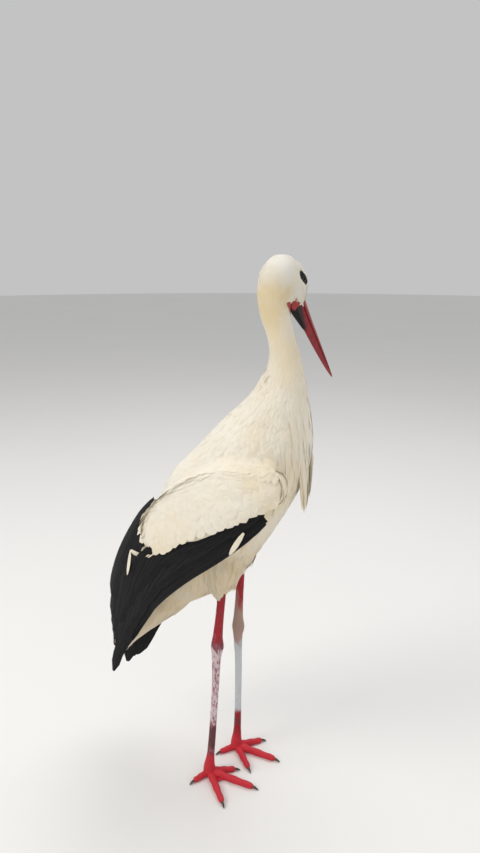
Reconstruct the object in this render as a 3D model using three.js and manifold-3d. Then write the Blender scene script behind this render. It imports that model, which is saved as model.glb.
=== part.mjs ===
// White stork, standing at rest: a still, life-size museum model. Millimetres, +X ahead, +Y to the bird's left, +Z up.
import * as THREE from 'three';
import { mergeVertices } from 'three/addons/utils/BufferGeometryUtils.js';
import Module from 'manifold-3d';

const wasm = await Module();
wasm.setup();

// ---- named sizes -------------------------------------------------------------------------
const GAP = 0.3; // clearance between neighbouring solids
const FINE = 0.06; // shorter detail than this is merged after the cuts
const BILL_LENGTH = 155;
const BILL_BASE = new THREE.Vector3(111, 45, 849); // middle of the bill where the feathers end
const HEAD_TURN = 62; // degrees the head is turned to the bird's left
const HEAD_DROP = 56.5; // degrees the bill points below level
const EYE_RADIUS = 7.5;
const FOOT_X = [-14, 10]; // right and left foot, along the body
const FOOT_Y = 39; // half the stance
const TOE_HEIGHT = 6.2; // centre of a toe above the floor
const SOLE_CUT = 0.9; // how far a toe would reach below the floor before its sole is cut flat
const CLAW_LENGTH = 11;
const BODY_SIZE = 0.977; // all above the legs is made at this share of its listed size
const BODY_PLACE = [8.8, -22.2, 21.4]; // and leans this far, so that the weight is over the right foot
const HIP_HEIGHT = 400; // the legs take up the whole lean by this height
const FLOOR_BOX = 700;
const LEFT_DROP = 46; // how much lower the left wing's tip hangs
const LEFT_BACK = 16;

// ---- head directions ----------------------------------------------------------------------
const turn = THREE.MathUtils.degToRad(HEAD_TURN);
const drop = THREE.MathUtils.degToRad(HEAD_DROP);
const ahead = new THREE.Vector3(
  Math.cos(turn) * Math.cos(drop),
  Math.sin(turn) * Math.cos(drop),
  -Math.sin(drop),
);
const leftward = new THREE.Vector3(-Math.sin(turn), Math.cos(turn), 0);
const crownward = new THREE.Vector3().crossVectors(ahead, leftward);

// A point of the head: distance ahead of the bill's base, to the left, and up through the crown.
function headPoint(forward, left, up) {
  return BILL_BASE.clone()
    .addScaledVector(ahead, forward)
    .addScaledVector(leftward, left)
    .addScaledVector(crownward, up);
}

// ---- solid helpers ------------------------------------------------------------------------
function toSolid(geometry) {
  geometry.deleteAttribute('uv');
  geometry.deleteAttribute('normal');
  const merged = mergeVertices(geometry, 1e-4);
  const index = Uint32Array.from(merged.index.array);
  const points = Float32Array.from(merged.attributes.position.array);
  let solid = new wasm.Manifold(new wasm.Mesh({ numProp: 3, vertProperties: points, triVerts: index }));
  if (solid.volume() < 0) {
    for (let i = 0; i < index.length; i += 3) {
      const held = index[i];
      index[i] = index[i + 1];
      index[i + 1] = held;
    }
    solid = new wasm.Manifold(new wasm.Mesh({ numProp: 3, vertProperties: points, triVerts: index }));
  }
  return solid;
}

// Size of a ring at t along a loft whose two ends are rounded off over the given shares of its length.
function capFactor(t, head, tail) {
  const h = head > 0 ? Math.min(1, t / head) : 1;
  const e = tail > 0 ? Math.min(1, (1 - t) / tail) : 1;
  return Math.sqrt(Math.max(0, 1 - (1 - h) ** 2)) * Math.sqrt(Math.max(0, 1 - (1 - e) ** 2));
}

// A rounded body through stations [x, y, z, side, up, down, roll]: centres and radii both follow
// Catmull-Rom curves. `side` is measured across, `up` and `down` along the normal of the path.
function loft(stations, options = {}) {
  const { rings = 18, around = 16, caps = [0.12, 0.12], grow = 0, across = [0, 1, 0] } = options;
  const centres = new THREE.CatmullRomCurve3(
    stations.map((s) => new THREE.Vector3(s[0], s[1], s[2])), false, 'catmullrom', 0.5);
  const radii = new THREE.CatmullRomCurve3(
    stations.map((s) => new THREE.Vector3(s[3], s[4], s[5])), false, 'catmullrom', 0.5);
  const rolls = new THREE.CatmullRomCurve3(
    stations.map((s) => new THREE.Vector3(s[6] ?? 0, 0, 0)), false, 'catmullrom', 0.5);
  const hint = new THREE.Vector3(...across);
  const ball = new THREE.SphereGeometry(1, around, rings);
  const position = ball.attributes.position;
  for (let i = 0; i < position.count; i += 1) {
    const x = position.getX(i);
    const y = position.getY(i);
    const z = position.getZ(i);
    const t = THREE.MathUtils.clamp(0.5 - y / 2, 0, 1);
    const angle = Math.atan2(z, x);
    const atPole = Math.hypot(x, z) < 1e-6;
    const size = atPole ? 0 : capFactor(t, caps[0], caps[1]);
    const centre = centres.getPoint(t);
    const tangent = centres.getTangent(t);
    const radius = radii.getPoint(t);
    const roll = THREE.MathUtils.degToRad(rolls.getPoint(t).x);
    const side = hint.clone().addScaledVector(tangent, -hint.dot(tangent)).normalize();
    const up = new THREE.Vector3().crossVectors(side, tangent);
    const s = side.clone().multiplyScalar(Math.cos(roll)).addScaledVector(up, Math.sin(roll));
    const u = up.clone().multiplyScalar(Math.cos(roll)).addScaledVector(side, -Math.sin(roll));
    const high = Math.sin(angle) > 0 ? radius.y : radius.z;
    centre.addScaledVector(s, Math.cos(angle) * (radius.x + grow) * size);
    centre.addScaledVector(u, Math.sin(angle) * (high + grow) * size);
    centre.addScaledVector(tangent, grow * (2 * t - 1));
    position.setXYZ(i, centre.x, centre.y, centre.z);
  }
  return toSolid(ball);
}

function ball(centre, radius, around = 16, rings = 10) {
  const geometry = new THREE.SphereGeometry(radius, around, rings);
  geometry.translate(centre.x, centre.y, centre.z);
  return toSolid(geometry);
}

function joined(solids) {
  return solids.reduce((all, one) => all.add(one));
}

function less(solid, cutters) {
  return cutters.reduce((left, one) => left.subtract(one), solid);
}

// The largest piece of a cut solid.
function largest(solid) {
  const biggest = (best, one) => (one.volume() > best.volume() ? one : best);
  return solid.decompose().reduce(biggest).simplify(FINE).decompose().reduce(biggest);
}

// Stations of the body brought to its real size and place.
function placed(stations) {
  return stations.map(([x, y, z, side, up, down, roll]) => [
    ...[x, y, z].map((v, k) => v * BODY_SIZE + BODY_PLACE[k]),
    side * BODY_SIZE,
    up * BODY_SIZE,
    down * BODY_SIZE,
    roll,
  ]);
}

function mirrored(stations) {
  return stations.map((s) => [s[0], -s[1], s[2], s[3], s[4], s[5], -(s[6] ?? 0)]);
}

// The left wing: the right one mirrored, its far end hanging lower.
function leftWing(stations) {
  const rows = mirrored(stations);
  return rows.map((s) => {
    const share = THREE.MathUtils.clamp((480 - s[2]) / 300, 0, 1) ** 1.6;
    return [s[0] - LEFT_BACK * share, s[1], s[2] - LEFT_DROP * share, s[3] * (1 + 0.6 * share), ...s.slice(4)];
  });
}

// ---- stations: [x, y, z, side, up (or back), down (or front), roll] -------------------------
const TRUNK = [
  [98, 0, 728, 36, 35, 41],
  [92, 0, 694, 54, 48, 56],
  [72, 0, 640, 74, 71, 82],
  [34, 0, 572, 84, 87, 93],
  [-15, 0, 502, 85, 96, 99],
  [-62, 0, 437, 69, 70, 98],
  [-104, 0, 378, 46, 46, 72],
  [-138, 0, 332, 27, 26, 44],
];
const NECK = [
  [88, 3, 917, 26, 26, 26],
  [87, 2, 893, 28, 28, 28],
  [87, 0, 867, 27, 28, 26],
  [90, -1, 838, 23.5, 25, 24],
  [96, 0, 811, 20.5, 21, 21.5],
  [101, 0, 785, 21, 20.5, 24],
  [103, 0, 760, 25, 24.5, 29.5],
  [101, 0, 735, 34, 33.5, 38.5],
  [96, 0, 706, 44, 43, 47],
];
const RUFF = [
  [130, 0, 694, 20, 6, 6],
  [137, 0, 654, 32, 8, 7],
  [141, 0, 612, 38, 9, 7],
  [142, 0, 570, 32, 8, 6],
  [139, 0, 530, 14, 5, 4],
];
const TAIL = [
  [-78, 0, 398, 30, 18, 54],
  [-118, 0, 340, 36, 16, 52],
  [-154, 0, 284, 36, 10, 32],
  [-184, 0, 234, 37, 5, 13],
  [-208, 0, 192, 33, 3, 4],
];
const THIGH = [
  [20, -44, 456, 34, 40, 40],
  [15, -40, 418, 25, 32, 30],
  [11, -37, 388, 14, 17, 16],
  [9, -36, 366, 9.5, 10, 10],
];
const WING = [
  [132, -70, 602, 22, 9, 9, 84],
  [100, -88, 588, 34, 13, 13, 82],
  [50, -92, 572, 48, 17, 14, 78],
  [-10, -88, 537, 54, 17, 14, 74],
  [-68, -77, 494, 48, 16, 12, 72],
  [-116, -68, 460, 24, 10, 9, 72],
];
const SECONDARIES = [
  [114, -96, 556, 8, 4, 4, 86],
  [72, -99, 524, 17, 8, 8, 86],
  [10, -97, 482, 28, 10, 10, 84],
  [-50, -90, 444, 39, 11, 11, 82],
  [-104, -79, 393, 41, 10, 10, 80],
  [-148, -66, 330, 34, 7, 7, 80],
  [-178, -58, 268, 22, 4, 4, 80],
];
const PRIMARIES = [
  [-120, -62, 340, 26, 6, 6, 84],
  [-152, -58, 290, 28, 6, 6, 84],
  [-180, -53, 235, 20, 5, 5, 84],
  [-199, -50, 182, 7, 3, 3, 84],
];
const TERTIALS = [
  [-80, -28, 540, 20, 6, 6, 30],
  [-118, -36, 478, 32, 7, 7, 42],
  [-154, -42, 398, 38, 6.5, 6.5, 50],
  [-177, -42, 322, 36, 5.5, 5.5, 56],
  [-191, -42, 262, 24, 4.5, 4.5, 62],
  [-196, -42, 220, 10, 3, 3, 66],
];
const SHANK = [
  [14, -36, 398, 6.4, 6.8, 6.8],
  [12, -36, 372, 6.4, 6.8, 6.8],
  [8, -36, 330, 6.2, 6.8, 6.8],
  [4, -36, 290, 7.2, 8.2, 8.2],
  [3, -36, 268, 9.4, 11, 10.6],
  [1, -36, 246, 7, 7.8, 7.8],
  [-1, -37, 190, 5.5, 6.2, 6.2],
  [-6, -38, 110, 5.3, 6, 6],
  [-11, -39, 46, 5.9, 6.6, 6.8],
  [-14, -39, 20, 7.2, 8.4, 8.4],
];
// Toe: [name, degrees from straight ahead (+ is left), length, half width at the root].
const TOES = [
  [['middle', -4, 88, 6.6], ['outer', -50, 75, 6.2], ['inner', 28, 48, 6], ['hind', -122, 35, 5.4]],
  [['middle', -5, 81, 6.6], ['inner', -48, 61, 6], ['outer', 38, 52, 6.2], ['hind', -134, 35, 5.4]],
];

// ---- colours ------------------------------------------------------------------------------
const COLOURS = {
  white: 0xe9e4d6,
  black: 0x16161a,
  red: 0x9c1420,
  leg: 0xb0454a,
  eye: 0x120c08,
  claw: 0x2a2526,
};
const materials = Object.fromEntries(Object.entries(COLOURS).map(([name, color]) => [
  name,
  new THREE.MeshStandardMaterial({ name, color, roughness: name === 'eye' ? 0.1 : 0.6 }),
]));

const bird = new THREE.Group();

function put(name, solid, colour) {
  const mesh = solid.getMesh();
  const geometry = new THREE.BufferGeometry();
  const points = new Float32Array((mesh.vertProperties.length / mesh.numProp) * 3);
  for (let i = 0; i < points.length / 3; i += 1) {
    for (let k = 0; k < 3; k += 1) {
      points[i * 3 + k] = mesh.vertProperties[i * mesh.numProp + k];
    }
  }
  geometry.setAttribute('position', new THREE.BufferAttribute(points, 3));
  geometry.setIndex(Array.from(mesh.triVerts));
  geometry.computeVertexNormals();
  const part = new THREE.Mesh(geometry, materials[colour]);
  part.name = name;
  bird.add(part);
}

// ---- head and bill ------------------------------------------------------------------------
const HEAD_AXES = { across: leftward.clone().negate().toArray() };

// Stations of the head given in head distances: [forward, up, side, above, below].
function headStations(rows) {
  return placed(rows.map(([forward, up, side, above, below]) => {
    const point = headPoint(forward, 0, up);
    return [point.x, point.y, point.z, side, above, below];
  }));
}

const SKULL = headStations([
  [-85, -3, 18, 17, 18],
  [-70, -1, 24.5, 25, 26],
  [-48, 1, 27.5, 28.5, 29],
  [-28, 0, 24.5, 25, 25],
  [-12, -1, 18, 19.5, 18],
  [2, -1, 12.5, 15.5, 14],
]);
const UPPER_BILL = headStations([
  [-10, 1, 12, 14.5, 0],
  [4, 1, 10.5, 13, 0],
  [40, 1, 8.4, 10, 0],
  [85, 1.5, 6.2, 7, 0],
  [125, 2.5, 4, 4, 0],
  [BILL_LENGTH, 3.5, 1.4, 1.4, 0],
]);
const LOWER_BILL = headStations([
  [-12, 0.6, 11, 0, 13],
  [4, 0.6, 9.6, 0, 12.5],
  [40, 0.6, 7.6, 0, 10],
  [85, 1.1, 5.6, 0, 7.2],
  [122, 2.1, 3.6, 0, 4.6],
  [BILL_LENGTH - 3, 3.1, 1.2, 0, 1.4],
]);

function eyeSocket(side) {
  const point = headPoint(-40, side * 19.4, 10);
  return point.multiplyScalar(BODY_SIZE).add(new THREE.Vector3(...BODY_PLACE));
}

const BILL_SHAPE = { rings: 12, around: 10, caps: [0.02, 0.05], ...HEAD_AXES };
const upperBill = loft(UPPER_BILL, BILL_SHAPE);
const lowerBill = loft(LOWER_BILL, BILL_SHAPE);
const eyes = [-1, 1].map((side) => ball(eyeSocket(side), EYE_RADIUS, 10, 7));
const billSeat = joined([
  loft(UPPER_BILL, { ...BILL_SHAPE, grow: GAP }),
  loft(LOWER_BILL, { ...BILL_SHAPE, grow: GAP }),
]);
const eyeSeats = [-1, 1].map((side) => ball(eyeSocket(side), EYE_RADIUS + GAP, 10, 7));
const SKULL_SHAPE = { rings: 13, around: 14, caps: [0.2, 0.06], ...HEAD_AXES };
const skull = less(loft(SKULL, SKULL_SHAPE), [billSeat, ...eyeSeats]);
const skullSeat = joined([loft(SKULL, { ...SKULL_SHAPE, grow: GAP }), billSeat, ...eyeSeats]);

put('head', largest(skull), 'white');
put('bill_upper', largest(upperBill), 'red');
put('bill_lower', largest(lowerBill), 'red');
put('eye_right', eyes[0], 'eye');
put('eye_left', eyes[1], 'eye');

// ---- legs and feet ------------------------------------------------------------------------
const floorCut = toSolid(
  new THREE.BoxGeometry(FLOOR_BOX, FLOOR_BOX, 100).translate(0, 0, -50),
);
const SIDES = ['right', 'left'];

function legStations(index) {
  const rows = index === 0 ? SHANK : mirrored(SHANK);
  const shift = index === 0 ? 0 : 1;
  return rows.map((s) => {
    const share = THREE.MathUtils.clamp((398 - s[2]) / 378, 0, 1);
    const point = [s[0] + shift * (6 + (FOOT_X[1] - FOOT_X[0] - 6) * share), s[1], s[2]];
    const lean = THREE.MathUtils.smoothstep(s[2], 0, HIP_HEIGHT);
    return [
      ...point.map((v, k) => v + lean * (v * BODY_SIZE + BODY_PLACE[k] - v)),
      ...s.slice(3),
    ];
  });
}

function toeStations(index, [, degrees, length, half]) {
  const angle = THREE.MathUtils.degToRad(degrees);
  const foot = [FOOT_X[index], index === 0 ? -FOOT_Y : FOOT_Y];
  const shares = [-0.06, 0.08, 0.24, 0.4, 0.56, 0.72, 0.86, 1];
  const swell = [1.05, 1, 1.08, 0.9, 0.98, 0.8, 0.84, 0.6];
  return shares.map((share, k) => {
    const height = TOE_HEIGHT * (1.2 - 0.35 * Math.max(0, share));
    return [
      foot[0] + Math.cos(angle) * length * share,
      foot[1] + Math.sin(angle) * length * share,
      height,
      half * swell[k],
      half * swell[k] * 0.95,
      height + SOLE_CUT,
    ];
  });
}

// A web is a thin wedge from the foot's middle to a point part of the way along two toes.
function web(index, first, second, share) {
  const corners = [first, second].map(([, degrees, length]) => {
    const angle = THREE.MathUtils.degToRad(degrees);
    return [Math.cos(angle) * length * share, Math.sin(angle) * length * share];
  });
  const middle = [(corners[0][0] + corners[1][0]) * 0.3, (corners[0][1] + corners[1][1]) * 0.3];
  const shape = new THREE.Shape();
  shape.moveTo(0, 0);
  shape.lineTo(...corners[0]);
  shape.quadraticCurveTo(...middle, ...corners[1]);
  shape.lineTo(0, 0);
  const plate = new THREE.ExtrudeGeometry(shape, { depth: 3.2, bevelEnabled: false, curveSegments: 6 });
  plate.translate(FOOT_X[index], index === 0 ? -FOOT_Y : FOOT_Y, 1.6);
  return toSolid(plate);
}

function clawStations(index, toe) {
  const angle = THREE.MathUtils.degToRad(toe[1]);
  const last = toeStations(index, toe)[7];
  const reach = [-5, 0, 5, CLAW_LENGTH - 2];
  const size = [3.2, 3, 2.4, 1.6];
  const lift = [4.4, 3.9, 2.4, 0.9];
  return reach.map((r, k) => [
    last[0] + Math.cos(angle) * r,
    last[1] + Math.sin(angle) * r,
    lift[k],
    size[k] * 0.8,
    size[k],
    size[k],
  ]);
}

const TOE_SHAPE = { rings: 9, around: 8, caps: [0.1, 0.08] };

// A toe is lofted across its own direction, so that its underside faces the floor.
function toeShape([, degrees]) {
  const angle = THREE.MathUtils.degToRad(degrees);
  return { ...TOE_SHAPE, across: [Math.sin(angle), -Math.cos(angle), 0] };
}

const CLAW_SHAPE = { rings: 5, around: 6, caps: [0.15, 0.2] };
const LEG_SHAPE = { rings: 16, around: 9, caps: [0.02, 0.02] };

const legSeats = [];
SIDES.forEach((side, index) => {
  const toes = TOES[index];
  const find = (name) => toes.find((toe) => toe[0] === name);
  const leg = loft(legStations(index), LEG_SHAPE);
  const legSeat = loft(legStations(index), { ...LEG_SHAPE, grow: GAP });
  const claws = toes.map((toe) => less(loft(clawStations(index, toe), CLAW_SHAPE), [floorCut]));
  const clawSeats = toes.map((toe) => loft(clawStations(index, toe), { ...CLAW_SHAPE, grow: GAP }));
  const foot = joined([
    ...toes.map((toe) => loft(toeStations(index, toe), toeShape(toe))),
    web(index, find('middle'), find('outer'), 0.46),
    web(index, find('middle'), find('inner'), 0.3),
    ball(new THREE.Vector3(FOOT_X[index], index === 0 ? -FOOT_Y : FOOT_Y, 10), 10.5, 10, 6),
  ]);
  put(`leg_${side}`, largest(leg), 'leg');
  put(`foot_${side}`, largest(less(foot, [legSeat, ...clawSeats, floorCut])), 'leg');
  toes.forEach((toe, k) => put(`claw_${toe[0]}_${side}`, largest(claws[k]), 'claw'));
  legSeats.push(legSeat);
});

// ---- body ---------------------------------------------------------------------------------
const BODY_SHAPE = { rings: 16, around: 20, caps: [0.03, 0.1] };
const NECK_SHAPE = { rings: 15, around: 14, caps: [0.14, 0.02] };
const THIGH_SHAPE = { rings: 9, around: 12, caps: [0.3, 0.06] };
const BLADE_SHAPE = { rings: 10, around: 10, caps: [0.14, 0.14] };

const thighs = [placed(THIGH), placed(mirrored(THIGH))];
const trunkRows = placed(TRUNK);
const neckRows = placed(NECK);
const tailRows = placed(TAIL);
const thighSeats = thighs.map((rows) => loft(rows, { ...THIGH_SHAPE, grow: GAP }));
const trunkSeat = loft(trunkRows, { ...BODY_SHAPE, grow: GAP });
const trunk = largest(less(loft(trunkRows, BODY_SHAPE), [...thighSeats, ...legSeats]));
put('trunk', trunk, 'white');
thighs.forEach((rows, index) => {
  put(`thigh_${SIDES[index]}`, largest(less(loft(rows, THIGH_SHAPE), legSeats)), 'white');
});
const neckSeat = loft(neckRows, { ...NECK_SHAPE, grow: GAP });
put('neck', largest(less(loft(neckRows, NECK_SHAPE), [skullSeat, trunkSeat])), 'white');
put('breast_ruff', largest(less(loft(placed(RUFF), BLADE_SHAPE), [trunkSeat, neckSeat])), 'white');

const tailSeat = loft(tailRows, { ...BLADE_SHAPE, grow: GAP });
put('tail', largest(less(loft(tailRows, BLADE_SHAPE), [trunkSeat])), 'white');

SIDES.forEach((side, index) => {
  const at = (rows) => placed(index === 0 ? rows : leftWing(rows));
  const seat = (rows) => loft(at(rows), { ...BLADE_SHAPE, grow: GAP });
  const base = [trunkSeat, tailSeat, ...thighSeats];
  put(`wing_${side}`, largest(less(loft(at(WING), BLADE_SHAPE), base)), 'white');
  base.push(seat(WING));
  put(`secondaries_${side}`, largest(less(loft(at(SECONDARIES), BLADE_SHAPE), base)), 'black');
  base.push(seat(SECONDARIES));
  put(`tertials_${side}`, largest(less(loft(at(TERTIALS), BLADE_SHAPE), base)), 'black');
  base.push(seat(TERTIALS));
  put(`primaries_${side}`, largest(less(loft(at(PRIMARIES), BLADE_SHAPE), base)), 'black');
});

// ---- stand on the floor, centred -------------------------------------------------------------
const box = new THREE.Box3().setFromObject(bird);
const middle = box.getCenter(new THREE.Vector3());
bird.position.set(-middle.x, -middle.y, -box.min.z);
bird.updateMatrixWorld(true);

export default bird;
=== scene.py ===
# White stork at rest, life size: one skin, a coat of solid feathers, bill, eyes, claws and scales.
import bmesh
import bpy
import numpy as np
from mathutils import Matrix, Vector
from mathutils.bvhtree import BVHTree
from mathutils.kdtree import KDTree


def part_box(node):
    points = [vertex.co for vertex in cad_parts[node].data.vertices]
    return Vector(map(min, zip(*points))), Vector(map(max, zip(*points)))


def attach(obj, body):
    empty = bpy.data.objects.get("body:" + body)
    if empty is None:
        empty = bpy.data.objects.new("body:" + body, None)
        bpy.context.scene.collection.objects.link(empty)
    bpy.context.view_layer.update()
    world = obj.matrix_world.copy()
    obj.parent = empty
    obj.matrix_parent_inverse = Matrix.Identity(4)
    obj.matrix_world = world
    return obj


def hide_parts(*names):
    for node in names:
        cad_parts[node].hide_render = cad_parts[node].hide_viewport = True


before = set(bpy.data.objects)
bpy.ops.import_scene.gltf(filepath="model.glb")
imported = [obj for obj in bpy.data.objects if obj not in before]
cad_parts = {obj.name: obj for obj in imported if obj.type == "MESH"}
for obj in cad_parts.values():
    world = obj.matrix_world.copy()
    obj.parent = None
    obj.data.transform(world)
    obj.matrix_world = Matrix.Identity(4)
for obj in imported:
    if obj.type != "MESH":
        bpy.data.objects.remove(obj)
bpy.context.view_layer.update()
rng = np.random.default_rng(41)
mm = 0.001

# ---- the bird's stations, as the frame has them: [x, y, z, side, up, down, roll] in millimetres ----
bird = {
    "size": 0.977,              # share of the listed size, for all above the legs
    "lean": (8.8, -22.2, 21.4),  # where that body then stands
    "hipHeight": 400,
    "footX": (-14, 10),
    "footY": 39,
    "legStep": 6,
    "leftDrop": 46,
    "leftBack": 16,
    "billBase": (111, 45, 849),
    "headTurn": 62,
    "headDrop": 56.5,
    "eye": (-40, 19.4, 10),     # ahead of the bill's base, to the side, towards the crown
    "eyeRadius": 7.5,
}
trunkRows = [
    [98, 0, 728, 36, 35, 41],
    [92, 0, 694, 54, 48, 56],
    [72, 0, 640, 74, 71, 82],
    [34, 0, 572, 84, 87, 93],
    [-15, 0, 502, 85, 96, 99],
    [-62, 0, 437, 69, 70, 98],
    [-104, 0, 378, 46, 46, 72],
    [-138, 0, 332, 27, 26, 44],
]
neckRows = [
    [90, 3, 917, 26, 27, 26],
    [89, 2, 893, 28, 27, 28],
    [88, 0, 867, 27, 28, 26],
    [90, -1, 838, 23.5, 25, 24],
    [96, 0, 811, 20.5, 21, 21.5],
    [101, 0, 785, 21, 20.5, 24],
    [103, 0, 760, 25, 24.5, 29.5],
    [101, 0, 735, 34, 33.5, 38.5],
    [96, 0, 706, 44, 43, 47],
]
ruffRows = [
    [130, 0, 694, 20, 6, 6],
    [137, 0, 654, 32, 8, 7],
    [141, 0, 612, 38, 9, 7],
    [142, 0, 570, 32, 8, 6],
    [139, 0, 530, 14, 5, 4],
]
tailRows = [
    [-78, 0, 398, 30, 18, 54],
    [-118, 0, 340, 36, 16, 52],
    [-154, 0, 284, 36, 10, 32],
    [-184, 0, 234, 37, 5, 13],
    [-208, 0, 192, 33, 3, 4],
]
thighRows = [
    [20, -44, 456, 34, 40, 40],
    [15, -40, 418, 25, 32, 30],
    [11, -37, 388, 14, 17, 16],
    [9, -36, 366, 9.5, 10, 10],
]
wingRows = [
    [132, -70, 602, 22, 9, 9, 84],
    [100, -88, 588, 34, 13, 13, 82],
    [50, -92, 572, 48, 17, 14, 78],
    [-10, -88, 537, 54, 17, 14, 74],
    [-68, -77, 494, 48, 16, 12, 72],
    [-116, -68, 460, 24, 10, 9, 72],
]
secondaryRows = [
    [114, -96, 556, 8, 4, 4, 86],
    [72, -99, 524, 17, 8, 8, 86],
    [10, -97, 482, 28, 10, 10, 84],
    [-50, -90, 444, 39, 11, 11, 82],
    [-104, -79, 393, 41, 10, 10, 80],
    [-148, -66, 330, 34, 7, 7, 80],
    [-178, -58, 268, 22, 4, 4, 80],
]
primaryRows = [
    [-120, -62, 340, 26, 6, 6, 84],
    [-152, -58, 290, 28, 6, 6, 84],
    [-180, -53, 235, 20, 5, 5, 84],
    [-199, -50, 182, 7, 3, 3, 84],
]
tertialRows = [
    [-80, -28, 540, 20, 6, 6, 30],
    [-118, -36, 478, 32, 7, 7, 42],
    [-154, -42, 398, 38, 6.5, 6.5, 50],
    [-177, -42, 322, 36, 5.5, 5.5, 56],
    [-191, -42, 262, 24, 4.5, 4.5, 62],
    [-196, -42, 220, 10, 3, 3, 66],
]
shankRows = [
    [14, -36, 398, 6.4, 6.8, 6.8],
    [12, -36, 372, 6.4, 6.8, 6.8],
    [8, -36, 330, 6.2, 6.8, 6.8],
    [4, -36, 290, 7.2, 8.2, 8.2],
    [3, -36, 268, 9.4, 11, 10.6],
    [1, -36, 246, 7, 7.8, 7.8],
    [-1, -37, 190, 5.5, 6.2, 6.2],
    [-6, -38, 110, 5.3, 6, 6],
    [-11, -39, 46, 5.9, 6.6, 6.8],
    [-14, -39, 20, 7.2, 8.4, 8.4],
]
# skull and bill in head distances: [ahead, towards crown, side, above, below]
skullRows = [
    [-88, -7, 22, 16, 21],
    [-70, -2, 25, 22.5, 26],
    [-48, 1, 27.5, 30, 29],
    [-28, 0, 24.5, 30, 25],
    [-12, -1, 18, 23, 18],
    [2, -1, 12.5, 16.5, 14],
]
cheekRows = [
    [-84, -8, 24, 24, 24],
    [-66, -12, 27.5, 26, 26],
    [-48, -16, 28, 25, 25],
    [-30, -20, 24.5, 20, 20],
    [-14, -21, 17, 13, 14],
]
upperBillRows = [
    [-10, 1, 12, 14.5, 0],
    [4, 1, 10.5, 13, 0],
    [40, 1, 8.4, 10, 0],
    [85, 1.5, 6.2, 7, 0],
    [125, 2.5, 4, 4, 0],
    [155, 3.5, 1.4, 1.4, 0],
]
lowerBillRows = [
    [-12, 0.6, 11, 0, 13],
    [4, 0.6, 9.6, 0, 12.5],
    [40, 0.6, 7.6, 0, 10],
    [85, 1.1, 5.6, 0, 7.2],
    [122, 2.1, 3.6, 0, 4.6],
    [152, 3.1, 1.2, 0, 1.4],
]
# toes: name, degrees from straight ahead, length, half width at the root
toeTable = [
    [("middle", -4, 88, 6.6), ("outer", -50, 75, 6.2), ("inner", 28, 48, 6.0), ("hind", -122, 35, 5.4)],
    [("middle", -5, 81, 6.6), ("inner", -48, 61, 6.0), ("outer", 38, 52, 6.2), ("hind", -134, 35, 5.4)],
]
sides = ("right", "left")


# ---- small helpers ----
def unit(v):
    return v / np.maximum(np.linalg.norm(v, axis=-1, keepdims=True), 1e-12)


def smooth(low, high, value):
    # cubic step from 0 at low to 1 at high
    share = np.clip((value - low) / (high - low), 0, 1)
    return share * share * (3 - 2 * share)


def dot(a, b):
    return (a * b).sum(-1)


# ---- placing the stations ----
turn, drop = np.radians(bird["headTurn"]), np.radians(bird["headDrop"])
aheadWay = np.array([np.cos(turn) * np.cos(drop), np.sin(turn) * np.cos(drop), -np.sin(drop)])
leftWay = np.array([-np.sin(turn), np.cos(turn), 0.0])
crownWay = np.cross(aheadWay, leftWay)


def leaned(points):
    # bird frame millimetres, brought to the size and place of the standing body
    return np.asarray(points, float) * bird["size"] + np.array(bird["lean"])


def headPoint(ahead, left, crown):
    # bill base plus the three head distances, each along its own direction
    point = np.array(bird["billBase"], float)
    for distance, way in ((ahead, aheadWay), (left, leftWay), (crown, crownWay)):
        point = point + np.asarray(distance, float)[..., None] * way
    return leaned(point)


eyeMiddle = headPoint(bird["eye"][0], -bird["eye"][1], bird["eye"][2])
low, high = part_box("eye_right")
toRow = (np.array(low) + np.array(high)) / 2 - eyeMiddle * mm   # bird frame to row frame, in metres


def stations(rows, body=True):
    # rows in millimetres become rows in metres in the row frame, with a roll in the last column
    rows = np.array([list(r) + [0] * (7 - len(r)) for r in rows], float)
    if body:
        rows[:, :3] = leaned(rows[:, :3])
        rows[:, 3:6] *= bird["size"]
    rows[:, :6] *= mm
    rows[:, :3] += toRow
    return rows


def mirrored(rows):
    return [[r[0], -r[1], *r[2:6], -(r[6] if len(r) > 6 else 0)] for r in rows]


def leftWing(rows):
    # the right wing mirrored, its far end hanging lower, further back and broader
    out = []
    for r in mirrored(rows):
        share = min(max((480 - r[2]) / 300, 0), 1) ** 1.6
        out.append([r[0] - bird["leftBack"] * share, r[1], r[2] - bird["leftDrop"] * share,
                    r[3] * (1 + 0.6 * share), *r[4:]])
    return out


def headStations(rows):
    out = []
    for ahead, crown, side, above, below in rows:
        point = headPoint(ahead, 0, crown)
        size = bird["size"]
        out.append([*(point * mm + toRow), side * size * mm, above * size * mm, below * size * mm, 0])
    return np.array(out)


def legStations(index):
    # the leg takes up the body's lean little by little between the floor and the hip
    rows = np.array(shankRows if index == 0 else [r[:6] for r in mirrored(shankRows)], float)
    share = np.clip((398 - rows[:, 2]) / 378, 0, 1)
    step = bird["footX"][1] - bird["footX"][0] - bird["legStep"]
    rows[:, 0] += index * (bird["legStep"] + step * share)
    rise = smooth(0, bird["hipHeight"], rows[:, 2])[:, None]
    rows[:, :3] += rise * (leaned(rows[:, :3]) - rows[:, :3])
    return stations(rows, body=False)


def toeStations(index, degrees, length, half):
    # stations along one toe, swollen at its joints and low towards the tip
    angle = np.radians(degrees)
    share = np.array([-0.06, 0.08, 0.24, 0.4, 0.56, 0.72, 0.86, 1])
    swell = np.array([1.05, 1, 1.08, 0.9, 0.98, 0.8, 0.84, 0.6])
    height = 6.2 * (1.2 - 0.35 * np.maximum(0, share))
    y = bird["footY"] if index else -bird["footY"]
    rows = np.stack([
        bird["footX"][index] + np.cos(angle) * length * share,
        y + np.sin(angle) * length * share,
        height,
        half * swell,
        half * swell * 0.95,
        height + 0.9,
    ], -1)
    return stations(rows, body=False)


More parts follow.
